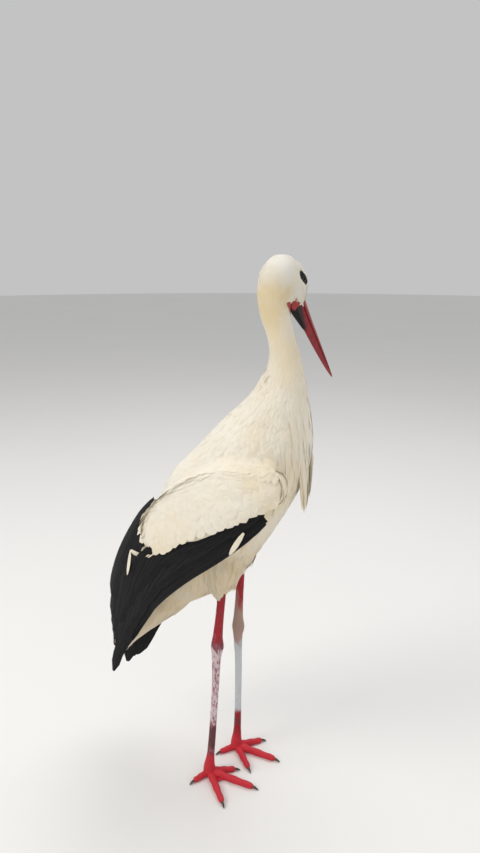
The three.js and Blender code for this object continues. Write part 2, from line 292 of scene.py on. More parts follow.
# ---- lofts ----
def along(rows, t):
    # uniform Catmull-Rom curve through the rows, straight on past both ends, with its slope
    count = len(rows)
    ends = np.vstack([2 * rows[0] - rows[1], rows, 2 * rows[-1] - rows[-2]])
    inside = np.clip(t, 0, 1)
    place = inside * (count - 1)
    i = np.minimum(place.astype(int), count - 2)
    w = (place - i)[..., None]
    a, b, c, d = (ends[i + k] for k in range(4))
    m0, m1 = (c - a) / 2, (d - b) / 2
    square, cube = 3 * (c - b) - 2 * m0 - m1, 2 * (b - c) + m0 + m1
    value = b + m0 * w + square * w ** 2 + cube * w ** 3
    slope = (m0 + 2 * square * w + 3 * cube * w ** 2) * (count - 1)
    return value + slope * (t - inside)[..., None], slope


def axesAt(shape, t):
    # centre, side, up, tangent and the three radii of a loft at t
    value, slope = along(shape["rows"], t)
    tangent = unit(slope[..., :3])
    hint = np.array(shape.get("hint", (0, 1, 0)), float)
    side = unit(hint - tangent * (tangent @ hint)[..., None])
    up = np.cross(side, tangent)
    roll = np.radians(value[..., 6:7])
    across = side * np.cos(roll) + up * np.sin(roll)
    out = up * np.cos(roll) - side * np.sin(roll)
    return value[..., :3], across, out, tangent, np.maximum(value[..., 3:6], 0)


def capShare(t, caps):
    # rounds a loft off over the given share of its length at each end
    share = np.ones_like(t)
    for gap, cap in ((t, caps[0]), (1 - t, caps[1])):
        if cap > 0:
            share = share * np.sqrt(np.maximum(0, 1 - (1 - np.clip(gap / cap, 0, 1)) ** 2))
    return share


def shell(shape, t, angle, grow=0.0):
    # point of a loft at t along it and angle round it: two half ellipses, one above and one below
    centre, across, out, tangent, radii = axesAt(shape, t)
    cap = capShare(t, shape["caps"])
    high = np.where(np.sin(angle) > 0, radii[..., 1], radii[..., 2])
    wide = np.maximum(radii[..., 0] + grow, 0.0004)
    high = np.maximum(high + grow, np.where(np.asarray(grow) < 0, 0.0004, 0))
    return (centre + across * (np.cos(angle) * wide * cap)[..., None]
            + out * (np.sin(angle) * high * cap)[..., None]
            + tangent * (grow * (2 * t - 1))[..., None])


def blade(shape, t, across, lift):
    # point on the outer face of a flat loft: across runs from -1 to 1 over its width, lift is outwards
    centre, side, out, _, radii = axesAt(shape, t)
    wide = across * radii[..., 0] * shape.get("flip", 1)
    return centre + side * wide[..., None] + out * lift[..., None]


def wingShape(rows, index):
    own = rows if index == 0 else leftWing(rows)
    return {"rows": stations(own), "caps": (0.14, 0.14), "flip": 1 if index == 0 else -1}


headHint = tuple(-leftWay)
coatRows = neckRows[:8] + trunkRows[1:]
trunkShape = {"rows": stations(trunkRows), "caps": (0.03, 0.1)}
neckShape = {"rows": stations(neckRows), "caps": (0.14, 0.02)}
coatShape = {"rows": stations(coatRows), "caps": (0.05, 0.06)}
ruffShape = {"rows": stations(ruffRows), "caps": (0.14, 0.14)}
tailShape = {"rows": stations(tailRows), "caps": (0.14, 0.14)}
skullShape = {"rows": headStations(skullRows), "caps": (0.2, 0.06), "hint": headHint}
upperBillShape = {"rows": headStations(upperBillRows), "caps": (0.02, 0.05), "hint": headHint}
cheekShape = {"rows": headStations(cheekRows), "caps": (0.45, 0.45), "hint": headHint}
lowerBillShape = {"rows": headStations(lowerBillRows), "caps": (0.02, 0.05), "hint": headHint}
thighShapes = [{"rows": stations(r), "caps": (0.3, 0.06)} for r in (thighRows, mirrored(thighRows))]
wingShapes = [wingShape(wingRows, k) for k in (0, 1)]
secondaryShapes = [wingShape(secondaryRows, k) for k in (0, 1)]
primaryShapes = [wingShape(primaryRows, k) for k in (0, 1)]
tertialShapes = [wingShape(tertialRows, k) for k in (0, 1)]
legShapes = [{"rows": legStations(k), "caps": (0.02, 0.02)} for k in (0, 1)]


def toeShape(index, toe):
    angle = np.radians(toe[1])
    hint = (np.sin(angle), -np.cos(angle), 0)
    return {"rows": toeStations(index, *toe[1:]), "caps": (0.1, 0.08), "hint": hint}


# ---- meshes from arrays ----
def ringFaces(count, rings, around):
    # four-sided faces between neighbouring rings, and a cap at each end, for a row of separate tubes
    r, a = np.meshgrid(np.arange(rings - 1), np.arange(around), indexing="ij")
    after = (a + 1) % around
    low, high = r * around, (r + 1) * around
    quad = np.stack([low + a, high + a, high + after, low + after], -1)
    start = (np.arange(count) * rings * around)[:, None, None]
    quads = (start + quad.reshape(1, -1, 4)).reshape(-1, 4)
    ring = np.arange(around)
    caps = np.stack([ring, (rings - 1) * around + ring[::-1]])
    caps = (start + caps[None]).reshape(-1, around)
    return quads, caps


def facesOutward(points, quads, caps):
    # turns every face round when the enclosed volume, summed over fans of triangles, comes out negative
    volume = 0
    for faces in (quads, *caps):
        p = points[faces]
        for k in range(1, p.shape[1] - 1):
            volume += dot(p[:, 0], np.cross(p[:, k], p[:, k + 1])).sum()
    return (quads[:, ::-1], [c[:, ::-1] for c in caps]) if volume < 0 else (quads, caps)


def meshFrom(name, points, quads, *caps):
    # quads, and any number of arrays of end caps
    points = np.ascontiguousarray(points.reshape(-1, 3))
    quads, caps = facesOutward(points, quads, caps)
    mesh = bpy.data.meshes.new(name)
    mesh.vertices.add(len(points))
    mesh.vertices.foreach_set("co", points.ravel())
    loops = np.concatenate([quads.ravel(), *[c.ravel() for c in caps]])
    mesh.loops.add(len(loops))
    mesh.loops.foreach_set("vertex_index", loops)
    sizes = np.concatenate([np.full(len(quads), 4), *[np.full(len(c), c.shape[1]) for c in caps]])
    mesh.polygons.add(len(sizes))
    mesh.polygons.foreach_set("loop_start", np.concatenate([[0], np.cumsum(sizes)[:-1]]))
    mesh.update(calc_edges=True)
    mesh.shade_smooth()
    return mesh


def pieceFrom(name, mesh, material=None):
    piece = bpy.data.objects.new(name, mesh)
    bpy.context.scene.collection.objects.link(piece)
    if material:
        mesh.materials.clear()
        mesh.materials.append(material)
    return piece


def setAttribute(mesh, name, values):
    # three numbers for each vertex
    layer = mesh.attributes.new(name, "FLOAT_VECTOR", "POINT")
    layer.data.foreach_set("vector", np.ascontiguousarray(values, np.float32).ravel())


def readPoints(mesh):
    values = np.empty(len(mesh.vertices) * 3, np.float32)
    mesh.vertices.foreach_get("co", values)
    return values.reshape(-1, 3).astype(float)


def tubeMesh(name, shape, rings, around, grow=0.0):
    # a loft closed at both poles, its rings closer together towards them
    t = 0.5 - np.cos(np.pi * np.linspace(0.012, 0.988, rings)) / 2
    t, angle = np.meshgrid(t, np.linspace(0, 2 * np.pi, around, endpoint=False), indexing="ij")
    return meshFrom(name, shell(shape, t, angle, grow), *ringFaces(1, rings, around))


def applied(obj):
    # the object's mesh with its modifiers applied, the object itself removed
    graph = bpy.context.evaluated_depsgraph_get()
    mesh = bpy.data.meshes.new_from_object(obj.evaluated_get(graph))
    bpy.data.objects.remove(obj)
    return mesh


def softened(obj, rounds, group=""):
    soften = obj.modifiers.new("soften", "SMOOTH")
    soften.factor = 0.5
    soften.iterations = rounds
    soften.vertex_group = group
    return applied(obj)


def melted(name, meshes, voxel, rounds, above=None, more=0):
    # closed meshes joined into one by voxels, and smoothed, above a height with more rounds
    bm = bmesh.new()
    for mesh in meshes:
        bm.from_mesh(mesh)
    joined = bpy.data.meshes.new(name)
    bm.to_mesh(joined)
    bm.free()
    obj = pieceFrom(name, joined)
    remesh = obj.modifiers.new("voxels", "REMESH")
    remesh.mode = "VOXEL"
    remesh.voxel_size = voxel
    mesh = softened(obj, rounds)
    if above is None:
        return mesh
    obj = pieceFrom(name, mesh)
    group = obj.vertex_groups.new(name="above")
    group.add(np.flatnonzero(birdPoint(readPoints(mesh))[:, 2] > above).tolist(), 1, "REPLACE")
    return softened(obj, more, "above")


# ---- the coat's outer form, and a distance field round it that feathers are laid along ----
def makeField(mesh, cell, reach):
    # signed distance to the mesh on a grid of cells, outside positive, averaged with its neighbours
    points = readPoints(mesh)
    faces = [tuple(p.vertices) for p in mesh.polygons]
    tree = BVHTree.FromPolygons([Vector(p) for p in points], faces)
    start = points.min(0) - 3 * reach
    count = np.ceil((points.max(0) + 3 * reach - start) / cell).astype(int) + 1
    near = np.zeros(count, bool)
    near[tuple(np.round((points - start) / cell).astype(int).T)] = True
    for _ in range(int(round(reach / cell))):
        for axis in range(3):
            near = near | np.roll(near, 1, axis) | np.roll(near, -1, axis)
    cells = np.argwhere(near)
    nodes = cells * cell + start
    found = [tree.find_nearest(Vector(p)) for p in nodes]
    spot = np.array([f[0] for f in found])
    facing = np.array([f[1] for f in found])
    gap = np.array([f[3] for f in found])
    distance = np.full(count, reach)
    distance[tuple(cells.T)] = np.where(dot(nodes - spot, facing) < 0, -gap, gap)
    soft = distance.copy()
    for axis in range(3):
        soft = (np.roll(soft, 1, axis) + 2 * soft + np.roll(soft, -1, axis)) / 4
    slope = np.stack(np.gradient(soft, cell), -1)
    return {"start": start, "cell": cell, "distance": soft, "slope": slope}


def fieldAt(field, points):
    # distance and outward direction at the points, by the eight grid nodes round each
    shape = points.shape[:-1]
    place = (points.reshape(-1, 3) - field["start"]) / field["cell"]
    place = np.clip(place, 0, np.array(field["distance"].shape) - 1.001)
    i = place.astype(int)
    w = place - i
    distance, slope = 0, 0
    for corner in np.ndindex(2, 2, 2):
        share = np.prod(np.where(np.array(corner) == 1, w, 1 - w), -1)
        at = tuple((i + corner).T)
        distance = distance + share * field["distance"][at]
        slope = slope + share[:, None] * field["slope"][at]
    return distance.reshape(shape), unit(slope).reshape(*shape, 3)


def settle(field, points):
    # moves the points along the field's slope until they lie on the form
    for _ in range(2):
        gap, out = fieldAt(field, points)
        points = points - out * gap[..., None]
    return points, fieldAt(field, points)[1]


# ---- zones: which part of the body a point is on, which way its feathers lie, its place on the unwrap ----
zones = [("skull", skullShape, -1), ("coat", coatShape, 1), ("tail", tailShape, 1)]
for index, side in enumerate(sides):
    zones += [
        ("thigh", thighShapes[index], 1),
        ("wing", wingShapes[index], 1),
        ("flight", secondaryShapes[index], 1),
        ("tertial", tertialShapes[index], 1),
        ("leg", legShapes[index], 1),
    ]
zoneNames = np.array([z[0] for z in zones])
lie = {"wingTop": 6, "wingBottom": 40}   # degrees that coverts turn down from the wing's length


def locate(points):
    # for each zone: the nearest station along it, the angle round it, how far off its surface the point is
    gaps, places, angles, ways, acrosses = [], [], [], [], []
    for name, shape, sign in zones:
        t = np.linspace(0, 1, 60)
        centre, across, out, tangent, radii = axesAt(shape, t)
        nearest = ((points[:, None] - centre[None]) ** 2).sum(-1).argmin(1)
        offset = points - centre[nearest]
        a = dot(offset, across[nearest])
        b = dot(offset, out[nearest])
        r = radii[nearest]
        high = np.where(b > 0, r[:, 1], r[:, 2])
        ratio = np.hypot(a / np.maximum(r[:, 0], 1e-4), b / np.maximum(high, 1e-4))
        reach = np.hypot(a, b)
        ends = np.abs(dot(offset, tangent[nearest])) * np.isin(nearest, (0, 59))
        gaps.append(np.abs(reach - reach / np.maximum(ratio, 1e-3)) + ends)
        places.append(t[nearest])
        angles.append(np.arctan2(b / np.maximum(high, 1e-4), a / np.maximum(r[:, 0], 1e-4)))
        way = tangent[nearest] * sign
        c = a / np.maximum(r[:, 0], 1e-4) * shape.get("flip", 1)
        acrosses.append(c)
        if name == "wing":
            bend = np.radians(lie["wingTop"] + (lie["wingBottom"] - lie["wingTop"]) * smooth(0.6, -0.9, c))
            down = -across[nearest] * shape["flip"]
            way = way * np.cos(bend)[:, None] + down * np.sin(bend)[:, None]
        ways.append(way)
    gaps, places, angles, acrosses = (np.stack(v, 1) for v in (gaps, places, angles, acrosses))
    ways = np.stack(ways, 1)
    weight = 1 / (gaps + 3 * mm) ** 3
    heading = unit((ways * weight[..., None]).sum(1))
    best = gaps.argmin(1)
    pick = np.arange(len(points))
    return {
        "zone": zoneNames[best], "best": best, "t": places[pick, best], "angle": angles[pick, best],
        "heading": heading, "across": acrosses[pick, best],
    }


def unwrapped(best, t, angle):
    # each zone is unrolled into its own upright strip of the square: angle across, length down
    wide = 1 / len(zones)
    return np.stack([(best + 0.06 + 0.88 * (angle / (2 * np.pi) % 1)) * wide, 0.02 + 0.96 * t], -1)


def birdPoint(points):
    # row frame back to the bird's own listed millimetres
    return ((points - toRow) / mm - np.array(bird["lean"])) / bird["size"]


def headPlace(points):
    # ahead of the bill's base, to the left and towards the crown, in listed millimetres
    offset = birdPoint(points) - np.array(bird["billBase"])
    return offset @ aheadWay, offset @ leftWay, offset @ crownWay


# ---- markings, the same for skin and coat ----
baseWarmth = 0.24
marking = {
    # place in the bird's millimetres, size, warmth, and dirtAndShade: a dusky cast that is painted shade
    # under belly and tail
    "cheek": (93, -25, 865, 26, 1.0, 0.14), "nape": (74, -20, 866, 30, 0.40, 0.05),
    "jaw": (112, -8, 862, 16, 0.45, 0.12), "neckMiddle": (107, -19, 800, 44, 0.42, 0.06),
    "breast": (136, -22, 660, 70, 0.26, 0.03), "flank": (122, -50, 590, 48, 0.34, 0.10),
    # belly and undertail: their large dirtAndShade shares are painted shade on the underside, over a real
    # warm stain
    "belly": (50, -30, 430, 95, 0.70, 0.85), "undertail": (-95, -29, 325, 100, 0.70, 0.82),
    "panelEnd": (-60, -92, 480, 60, 0.22, 0.0), "crownTip": (100, -5, 918, 30, -0.20, 0.0),
}


def tonesAt(points):
    # warm stain and dusky cast of the white plumage, the cast being painted shade under belly and tail: a
    # base, soft round patches, and a slow ripple
    p = birdPoint(points)
    warm, dirtAndShade = np.full(len(p), baseWarmth), np.zeros(len(p))
    for spec in marking.values():
        share = np.exp(-((p - np.array(spec[:3])) ** 2).sum(-1) / spec[3] ** 2)
        warm, dirtAndShade = warm + spec[4] * share, dirtAndShade + spec[5] * share
    ripple = np.sin(p[:, 0] * 0.11 + 1.3) * np.sin(p[:, 1] * 0.09) * np.sin(p[:, 2] * 0.07 + 0.6)
    return np.clip(warm + 0.12 * ripple, 0, 1), np.clip(dirtAndShade, 0, 1)


# ---- feathers ----
outlines = {
    # shares along the vane, and its half width there
    "hair": ([0, 0.35, 0.72, 1], [0.5, 1, 0.75, 0.1]),
    "contour": ([0, 0.25, 0.52, 0.76, 0.92, 1], [0.40, 0.85, 1, 0.88, 0.52, 0.10]),
    "scallop": ([0, 0.28, 0.55, 0.78, 0.92, 1], [0.45, 0.88, 1, 0.96, 0.68, 0.16]),
    "lance": ([0, 0.22, 0.46, 0.7, 0.88, 1], [0.45, 0.9, 1, 0.78, 0.42, 0.06]),
    "down": ([0, 0.3, 0.6, 0.85, 1], [0.5, 1, 0.95, 0.6, 0.08]),
}
sections = {
    # across the vane, and how far each line stands above or below its middle
    "slim": np.array([(-1, 0), (0, 1), (1, 0), (0, -1)], float),
    "full": np.array([(-1, 0), (-0.5, 0.8), (0, 1.2), (0.5, 0.8), (1, 0), (0, -0.8)], float),
}


def vaneMesh(name, shaft, across, out, half, style, roots, chance, thick, camber):
    # vertex = shaft + across * u * half + out * (thickness - camber * u squared * half)
    # shading normals lie flat, so that the thin rims don't darken
    section = sections[style]
    u, rise = section[:, 0], section[:, 1]
    count, rows = half.shape
    grid = shaft[:, :, None] + across[:, :, None] * (u * half[..., None])[..., None]
    lift = thick[:, None, None] * rise * np.minimum(1, half[..., None] / (0.3 * half.max(1)[:, None, None]))
    lift = lift - camber * u ** 2 * half[..., None]
    points = grid + out[:, :, None] * lift[..., None]
    quads, caps = ringFaces(count, rows, len(u))
    mesh = meshFrom(name, points, quads, caps)
    corner = np.empty(len(mesh.loops), np.int32)
    mesh.loops.foreach_get("vertex_index", corner)
    facing = unit(out[:, :, None] + across[:, :, None] * (0.3 * u)[:, None]).reshape(-1, 3)
    under = np.broadcast_to(-out[:, :, None], points.shape).reshape(-1, 3)
    low = np.repeat(np.arange(len(quads)) % len(u) >= len(u) - 2, 4)[:, None]
    normals = np.zeros((len(corner), 3))
    normals[:len(low)] = np.where(low, under[corner[:len(low)]], facing[corner[:len(low)]])
    mesh.normals_split_custom_set(normals.tolist())
    v = np.broadcast_to(np.linspace(0, 1, rows)[None, :, None], points.shape[:3])
    wide = np.broadcast_to(u * 0.5 + 0.5, points.shape[:3])
    own = np.broadcast_to(chance[:, None, None], points.shape[:3])
    setAttribute(mesh, "vane", np.stack([wide, v, own], -1))
    warm, dirtAndShade = tonesAt(roots)
    tone = np.stack([warm, dirtAndShade, chance], -1)[:, None, None]
    setAttribute(mesh, "tone", np.broadcast_to(tone, (*points.shape[:3], 3)))
    spot = locate(roots)
    patch = unwrapped(spot["best"], spot["t"], spot["angle"])[:, None, None]
    patch = patch + 0.003 * (np.stack([wide, v], -1) - 0.5)
    layer = mesh.uv_layers.new(name="OFBake")
    layer.data.foreach_set("uv", patch.reshape(-1, 2)[corner].astype(np.float32).ravel())
    return mesh


def layVanes(name, field, roots, heading, length, half, depth, tip, outline, style, material,
             thick, camber, tilt, sway, curl=0.0, loose=0.0, hang=0.0):
    # each vane walks along the form from its root
    # and rises from its depth, steeply at first, to its tip's height
    # a loose one leaves the form by that share of the way, and a hanging one turns down towards the floor
    count = len(roots)
    shares, widths = (np.array(v) for v in outlines[outline])
    chance = rng.random(count)
    point, out = settle(field, roots)
    way = unit(heading - out * dot(heading, out)[:, None])
    veer = np.radians(sway) * rng.normal(size=count)[:, None]
    way = way * np.cos(veer) + np.cross(out, way) * np.sin(veer)
    bend = np.radians(curl) * rng.normal(size=count)[:, None]
    roll = np.radians(tilt) * rng.normal(size=count)[:, None]
    shaft, across, outward = [], [], []
    for k, share in enumerate(shares):
        if k:
            step = length * (share - shares[k - 1])
            ahead = point + way * step[:, None]
            point, turned = settle(field, ahead)
            point = point + (ahead - point) * min(1, 1.6 * loose * share)
            out = np.where(np.linalg.norm(turned, axis=-1, keepdims=True) > 0.5, turned, out)
            out = unit(out)
            way = unit(way - out * (dot(way, out) * (1 - hang * share))[:, None])
            way = unit(way + np.cross(out, way) * np.tan(bend * (share - shares[k - 1])))
            way = unit(way + np.array([0, 0, -0.9]) * hang * share)
        height = depth + (tip - depth) * (0.72 * (1 - (1 - share) ** 3) + 0.28 * share)
        flat = np.cross(way, out)
        across.append(flat * np.cos(roll) + out * np.sin(roll))
        outward.append(out * np.cos(roll) - flat * np.sin(roll))
        shaft.append(point + out * height[:, None])
    shaft, across, outward = (np.stack(v, 1) for v in (shaft, across, outward))
    width = half[:, None] * widths * (1 + 0.10 * rng.normal(size=(count, len(shares))))
    thick = np.full(count, thick * mm)
    mesh = vaneMesh(name, shaft, across, outward, width, style, roots, chance, thick, camber)
    piece = pieceFrom(name, mesh, material)
    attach(piece, "root")
    return piece


def scatter(points, spacing):
    # keeps points that have no kept neighbour nearer than their own spacing
    tree = KDTree(len(points))
    for i, p in enumerate(points):
        tree.insert(p, i)
    tree.balance()
    alive = np.ones(len(points), bool)
    for i, p in enumerate(points):
        if alive[i]:
            for _, j, _ in tree.find_range(p, spacing[i]):
                alive[j] = j == i
    return alive


def sampleForm(mesh, density):
    # random points on the form's faces, as many per square metre as density says for each face
    mesh.calc_loop_triangles()
    tri = np.empty(len(mesh.loop_triangles) * 3, np.int32)
    mesh.loop_triangles.foreach_get("vertices", tri)
    p = readPoints(mesh)[tri.reshape(-1, 3)]
    area = np.linalg.norm(np.cross(p[:, 1] - p[:, 0], p[:, 2] - p[:, 0]), axis=-1) / 2
    want = area * density(p.mean(1))
    number = np.floor(want + rng.random(len(want))).astype(int)
    p = np.repeat(p, number, axis=0)
    a, b = rng.random(len(p)), rng.random(len(p))
    fold = a + b > 1
    a, b = np.where(fold, 1 - a, a)[:, None], np.where(fold, 1 - b, b)[:, None]
    return p[:, 0] + (p[:, 1] - p[:, 0]) * a + (p[:, 2] - p[:, 0]) * b


# ---- materials ----
def link(tree, source, target):
    tree.links.new(source, target)


def addNode(tree, kind, **values):
    node = tree.nodes.new(kind)
    for key, value in values.items():
        setattr(node, key, value)
    return node


def math(tree, operation, a, b=None, c=None, clamp=False):
    # one Math node, where each input is a number or another node's socket
    node = addNode(tree, "ShaderNodeMath", operation=operation, use_clamp=clamp)
    for socket, value in zip(node.inputs, (a, b, c)):
        if value is None:
            continue
        if isinstance(value, (int, float)):
            socket.default_value = value
        else:
            link(tree, value, socket)
    return node.outputs[0]


def mixColour(tree, share, a, b):
    # one Mix node, where each input is a number, a colour or another node's socket
    node = addNode(tree, "ShaderNodeMix", data_type="RGBA")
    for socket, value in ((node.inputs[0], share), (node.inputs[6], a), (node.inputs[7], b)):
        if isinstance(value, (int, float)):
            socket.default_value = value
        elif isinstance(value, tuple):
            socket.default_value = (*value, 1)
        else:
            link(tree, value, socket)
    return node.outputs[2]


def stepMask(tree, value, low, high):
    node = addNode(tree, "ShaderNodeMapRange", interpolation_type="SMOOTHSTEP")
    link(tree, value, node.inputs[0])
    node.inputs[1].default_value, node.inputs[2].default_value = low, high
    return node.outputs[0]


def noise(tree, vector, scale, detail, rough=0.55):
    node = addNode(tree, "ShaderNodeTexNoise")
    node.inputs["Scale"].default_value = scale
    node.inputs["Detail"].default_value = detail
    node.inputs["Roughness"].default_value = rough
    link(tree, vector, node.inputs["Vector"])
    return node.outputs["Fac"]


def objectPlace(tree, stretch=(1, 1, 1)):
    coord = addNode(tree, "ShaderNodeTexCoord")
    mapping = addNode(tree, "ShaderNodeMapping")
    mapping.inputs["Scale"].default_value = stretch
    link(tree, coord.outputs["Object"], mapping.inputs["Vector"])
    return mapping.outputs["Vector"]


def attribute(tree, name):
    node = addNode(tree, "ShaderNodeAttribute", attribute_name=name)
    parts = addNode(tree, "ShaderNodeSeparateXYZ")
    link(tree, node.outputs["Vector"], parts.inputs[0])
    return parts.outputs


def barbGroup():
    # fine slanting barbs of a vane, its shaft, painted shade towards its hidden root, and its rim, from the
    # vane attribute
    tree = bpy.data.node_groups.new("vaneBarbs", "ShaderNodeTree")
    for name in ("Streak", "Shaft", "PaintedRootShade", "Rim"):
        tree.interface.new_socket(name, in_out="OUTPUT", socket_type="NodeSocketFloat")
    tree.interface.new_socket("Fineness", in_out="INPUT", socket_type="NodeSocketFloat")
    inside = addNode(tree, "NodeGroupInput")
    outside = addNode(tree, "NodeGroupOutput")
    u, v, own = attribute(tree, "vane")
    wide = math(tree, "ABSOLUTE", math(tree, "MULTIPLY_ADD", u, 2.0, -1.0))
    slant = math(tree, "MULTIPLY_ADD", wide, -0.22, v)
    fine = math(tree, "MULTIPLY", slant, inside.outputs[0])
    spot = addNode(tree, "ShaderNodeCombineXYZ")
    link(tree, math(tree, "MULTIPLY", u, 2.4), spot.inputs[0])
    link(tree, fine, spot.inputs[1])
    link(tree, math(tree, "MULTIPLY", own, 37.0), spot.inputs[2])
    streak = noise(tree, spot.outputs[0], 1.0, 3.0, 0.7)
    link(tree, stepMask(tree, streak, 0.36, 0.66), outside.inputs["Streak"])
    link(tree, stepMask(tree, wide, 0.14, 0.04), outside.inputs["Shaft"])
    link(tree, stepMask(tree, v, 0.55, 0.0), outside.inputs["PaintedRootShade"])
    link(tree, stepMask(tree, wide, 0.6, 1.0), outside.inputs["Rim"])
    return tree


def principled(name, roughness, **sockets):
    material = bpy.data.materials.new(name)
    material.use_nodes = True
    tree = material.node_tree
    shader = tree.nodes["Principled BSDF"]
    shader.inputs["Roughness"].default_value = roughness
    for key, value in sockets.items():
        shader.inputs[key.replace("_", " ")].default_value = value
    return material, tree, shader


def bumped(tree, shader, height, distance, strength):
    bump = addNode(tree, "ShaderNodeBump")
    bump.inputs["Distance"].default_value = distance
    bump.inputs["Strength"].default_value = strength
    link(tree, height, bump.inputs["Height"])
    link(tree, bump.outputs[0], shader.inputs["Normal"])


vaneBarbs = barbGroup()
whiteLook = {
    # colours, the last four each with its greatest share
    "clean": (0.90, 0.875, 0.80), "cream": (0.84, 0.69, 0.42), "fineness": 46.0,
    # the dusky tan tint is painted shade under belly and tail and a dirty cast elsewhere
    "dirtAndShade": (0.62, (0.58, 0.47, 0.33)), "streak": (0.10, (0.66, 0.60, 0.48)),
    # root: painted shade, greyer towards each vane's hidden root
    "root": (0.15, (0.62, 0.56, 0.45)), "own": (0.07, (0.66, 0.60, 0.50)),
}


def whitePlumage():
    material, tree, shader = principled("plumageWhite", 0.82, Sheen_Weight=0.25, Sheen_Roughness=0.5)
    shader.inputs["Specular IOR Level"].default_value = 0.25
    barbs = addNode(tree, "ShaderNodeGroup", node_tree=vaneBarbs)
    barbs.inputs[0].default_value = whiteLook["fineness"]
    warm, dirtAndShade, own = attribute(tree, "tone")
    blot = noise(tree, objectPlace(tree), 34.0, 4.0)
    warmth = math(tree, "MULTIPLY", warm, math(tree, "MULTIPLY_ADD", blot, 1.3, 0.35), clamp=True)
    colour = mixColour(tree, warmth, whiteLook["clean"], whiteLook["cream"])
    streak, root = barbs.outputs["Streak"], barbs.outputs["PaintedRootShade"]
    # the dusky tone share lays painted shade under belly and tail, and the root share lays painted shade
    # towards each vane's hidden root
    for mask, (share, tint) in ((dirtAndShade, whiteLook["dirtAndShade"]), (streak, whiteLook["streak"]),
                                (root, whiteLook["root"]), (own, whiteLook["own"])):
        colour = mixColour(tree, math(tree, "MULTIPLY", mask, share), colour, tint)
    link(tree, colour, shader.inputs["Base Color"])
    height = math(tree, "MULTIPLY_ADD", barbs.outputs["Shaft"], 0.8, barbs.outputs["Streak"])
    bumped(tree, shader, height, 0.00022, 0.7)
    return material


blackLook = {
    "deep": (0.0035, 0.0035, 0.0042), "soft": (0.007, 0.007, 0.0085), "fineness": 150.0,
    "Streak": (0.25, (0.014, 0.014, 0.016)), "Rim": (0.22, (0.030, 0.028, 0.028)),
    "Shaft": (0.35, (0.03, 0.028, 0.027)),
}


def blackPlumage():
    material, tree, shader = principled("plumageBlack", 0.5)
    shader.inputs["Specular IOR Level"].default_value = 0.16
    barbs = addNode(tree, "ShaderNodeGroup", node_tree=vaneBarbs)
    barbs.inputs[0].default_value = blackLook["fineness"]
    colour = mixColour(tree, attribute(tree, "tone")[2], blackLook["deep"], blackLook["soft"])
    for part in ("Streak", "Rim", "Shaft"):
        share, tint = blackLook[part]
        colour = mixColour(tree, math(tree, "MULTIPLY", barbs.outputs[part], share), colour, tint)
    link(tree, colour, shader.inputs["Base Color"])
    rough = math(tree, "MULTIPLY_ADD", barbs.outputs["Streak"], 0.2, 0.5)
    link(tree, rough, shader.inputs["Roughness"])
    height = math(tree, "MULTIPLY_ADD", barbs.outputs["Shaft"], 1.5, barbs.outputs["Streak"])
    bumped(tree, shader, height, 0.0003, 0.8)
    return material


legLook = {
    # the pale pink is a painted highlight for the feet
    "crimson": (0.32, 0.007, 0.016), "bright": (0.56, 0.018, 0.034), "pinkHighlight": (0.62, 0.13, 0.14),
    "plum": (0.30, 0.11, 0.13), "wine": (0.15, 0.012, 0.024), "umber": (0.115, 0.030, 0.034),
    "beige": (0.41, 0.29, 0.21), "rose": (0.43, 0.26, 0.24), "ice": (0.56, 0.60, 0.62),
    "chalk": (0.66, 0.54, 0.56),
}


def legColour(tree):
    # plum skin with wine runs, beige, icy and red reaches laid over it, then chalky flakes and dark scuffs
    red, chalk, dark = attribute(tree, "leg")
    beige, ice, bright = attribute(tree, "tint")
    runs = noise(tree, objectPlace(tree, (1, 1, 0.3)), 300.0, 5.0, 0.65)
    blot = noise(tree, objectPlace(tree), 80.0, 4.0, 0.6)
    fleck = noise(tree, objectPlace(tree), 480.0, 3.0, 0.6)
    colour = mixColour(tree, stepMask(tree, runs, 0.42, 0.60), legLook["plum"], legLook["wine"])
    pale = mixColour(tree, stepMask(tree, blot, 0.40, 0.62), legLook["beige"], legLook["rose"])
    colour = mixColour(tree, beige, colour, pale)
    speck = math(tree, "MULTIPLY", stepMask(tree, fleck, 0.60, 0.68), 0.75)
    colour = mixColour(tree, ice, colour, mixColour(tree, speck, legLook["ice"], legLook["plum"]))
    # pale pink patches over the bright red feet, at random, are a painted highlight
    foot = mixColour(tree, stepMask(tree, fleck, 0.52, 0.95), legLook["bright"], legLook["pinkHighlight"])
    shank = mixColour(tree, stepMask(tree, runs, 0.5, 0.72), legLook["crimson"], legLook["bright"])
    colour = mixColour(tree, red, colour, mixColour(tree, bright, shank, foot))
    amount = math(tree, "ADD", math(tree, "MULTIPLY_ADD", runs, 1.6, -0.8), chalk)
    amount = stepMask(tree, math(tree, "MULTIPLY_ADD", fleck, 0.3, amount), 0.50, 0.72)
    colour = mixColour(tree, amount, colour, legLook["chalk"])
    spots = math(tree, "ADD", math(tree, "MULTIPLY_ADD", blot, 1.2, -0.6), dark)
    colour = mixColour(tree, stepMask(tree, spots, 0.35, 0.85), colour, legLook["umber"])
    return colour, runs, fleck


def legSkin():
    material, tree, shader = principled("legSkin", 0.55)
    colour, runs, fleck = legColour(tree)
    link(tree, colour, shader.inputs["Base Color"])
    link(tree, math(tree, "MULTIPLY_ADD", runs, 0.35, 0.36), shader.inputs["Roughness"])
    bumped(tree, shader, fleck, 0.00025, 0.6)
    return material


skinLook = {
    "down": ((0.86, 0.83, 0.75), (0.80, 0.66, 0.42)), "grain": (0.55, 0.48, 0.36),
    "black": ((0.004, 0.004, 0.005), (0.016, 0.014, 0.014)),
    "flesh": ((0.30, 0.012, 0.018), (0.52, 0.10, 0.09)),
}


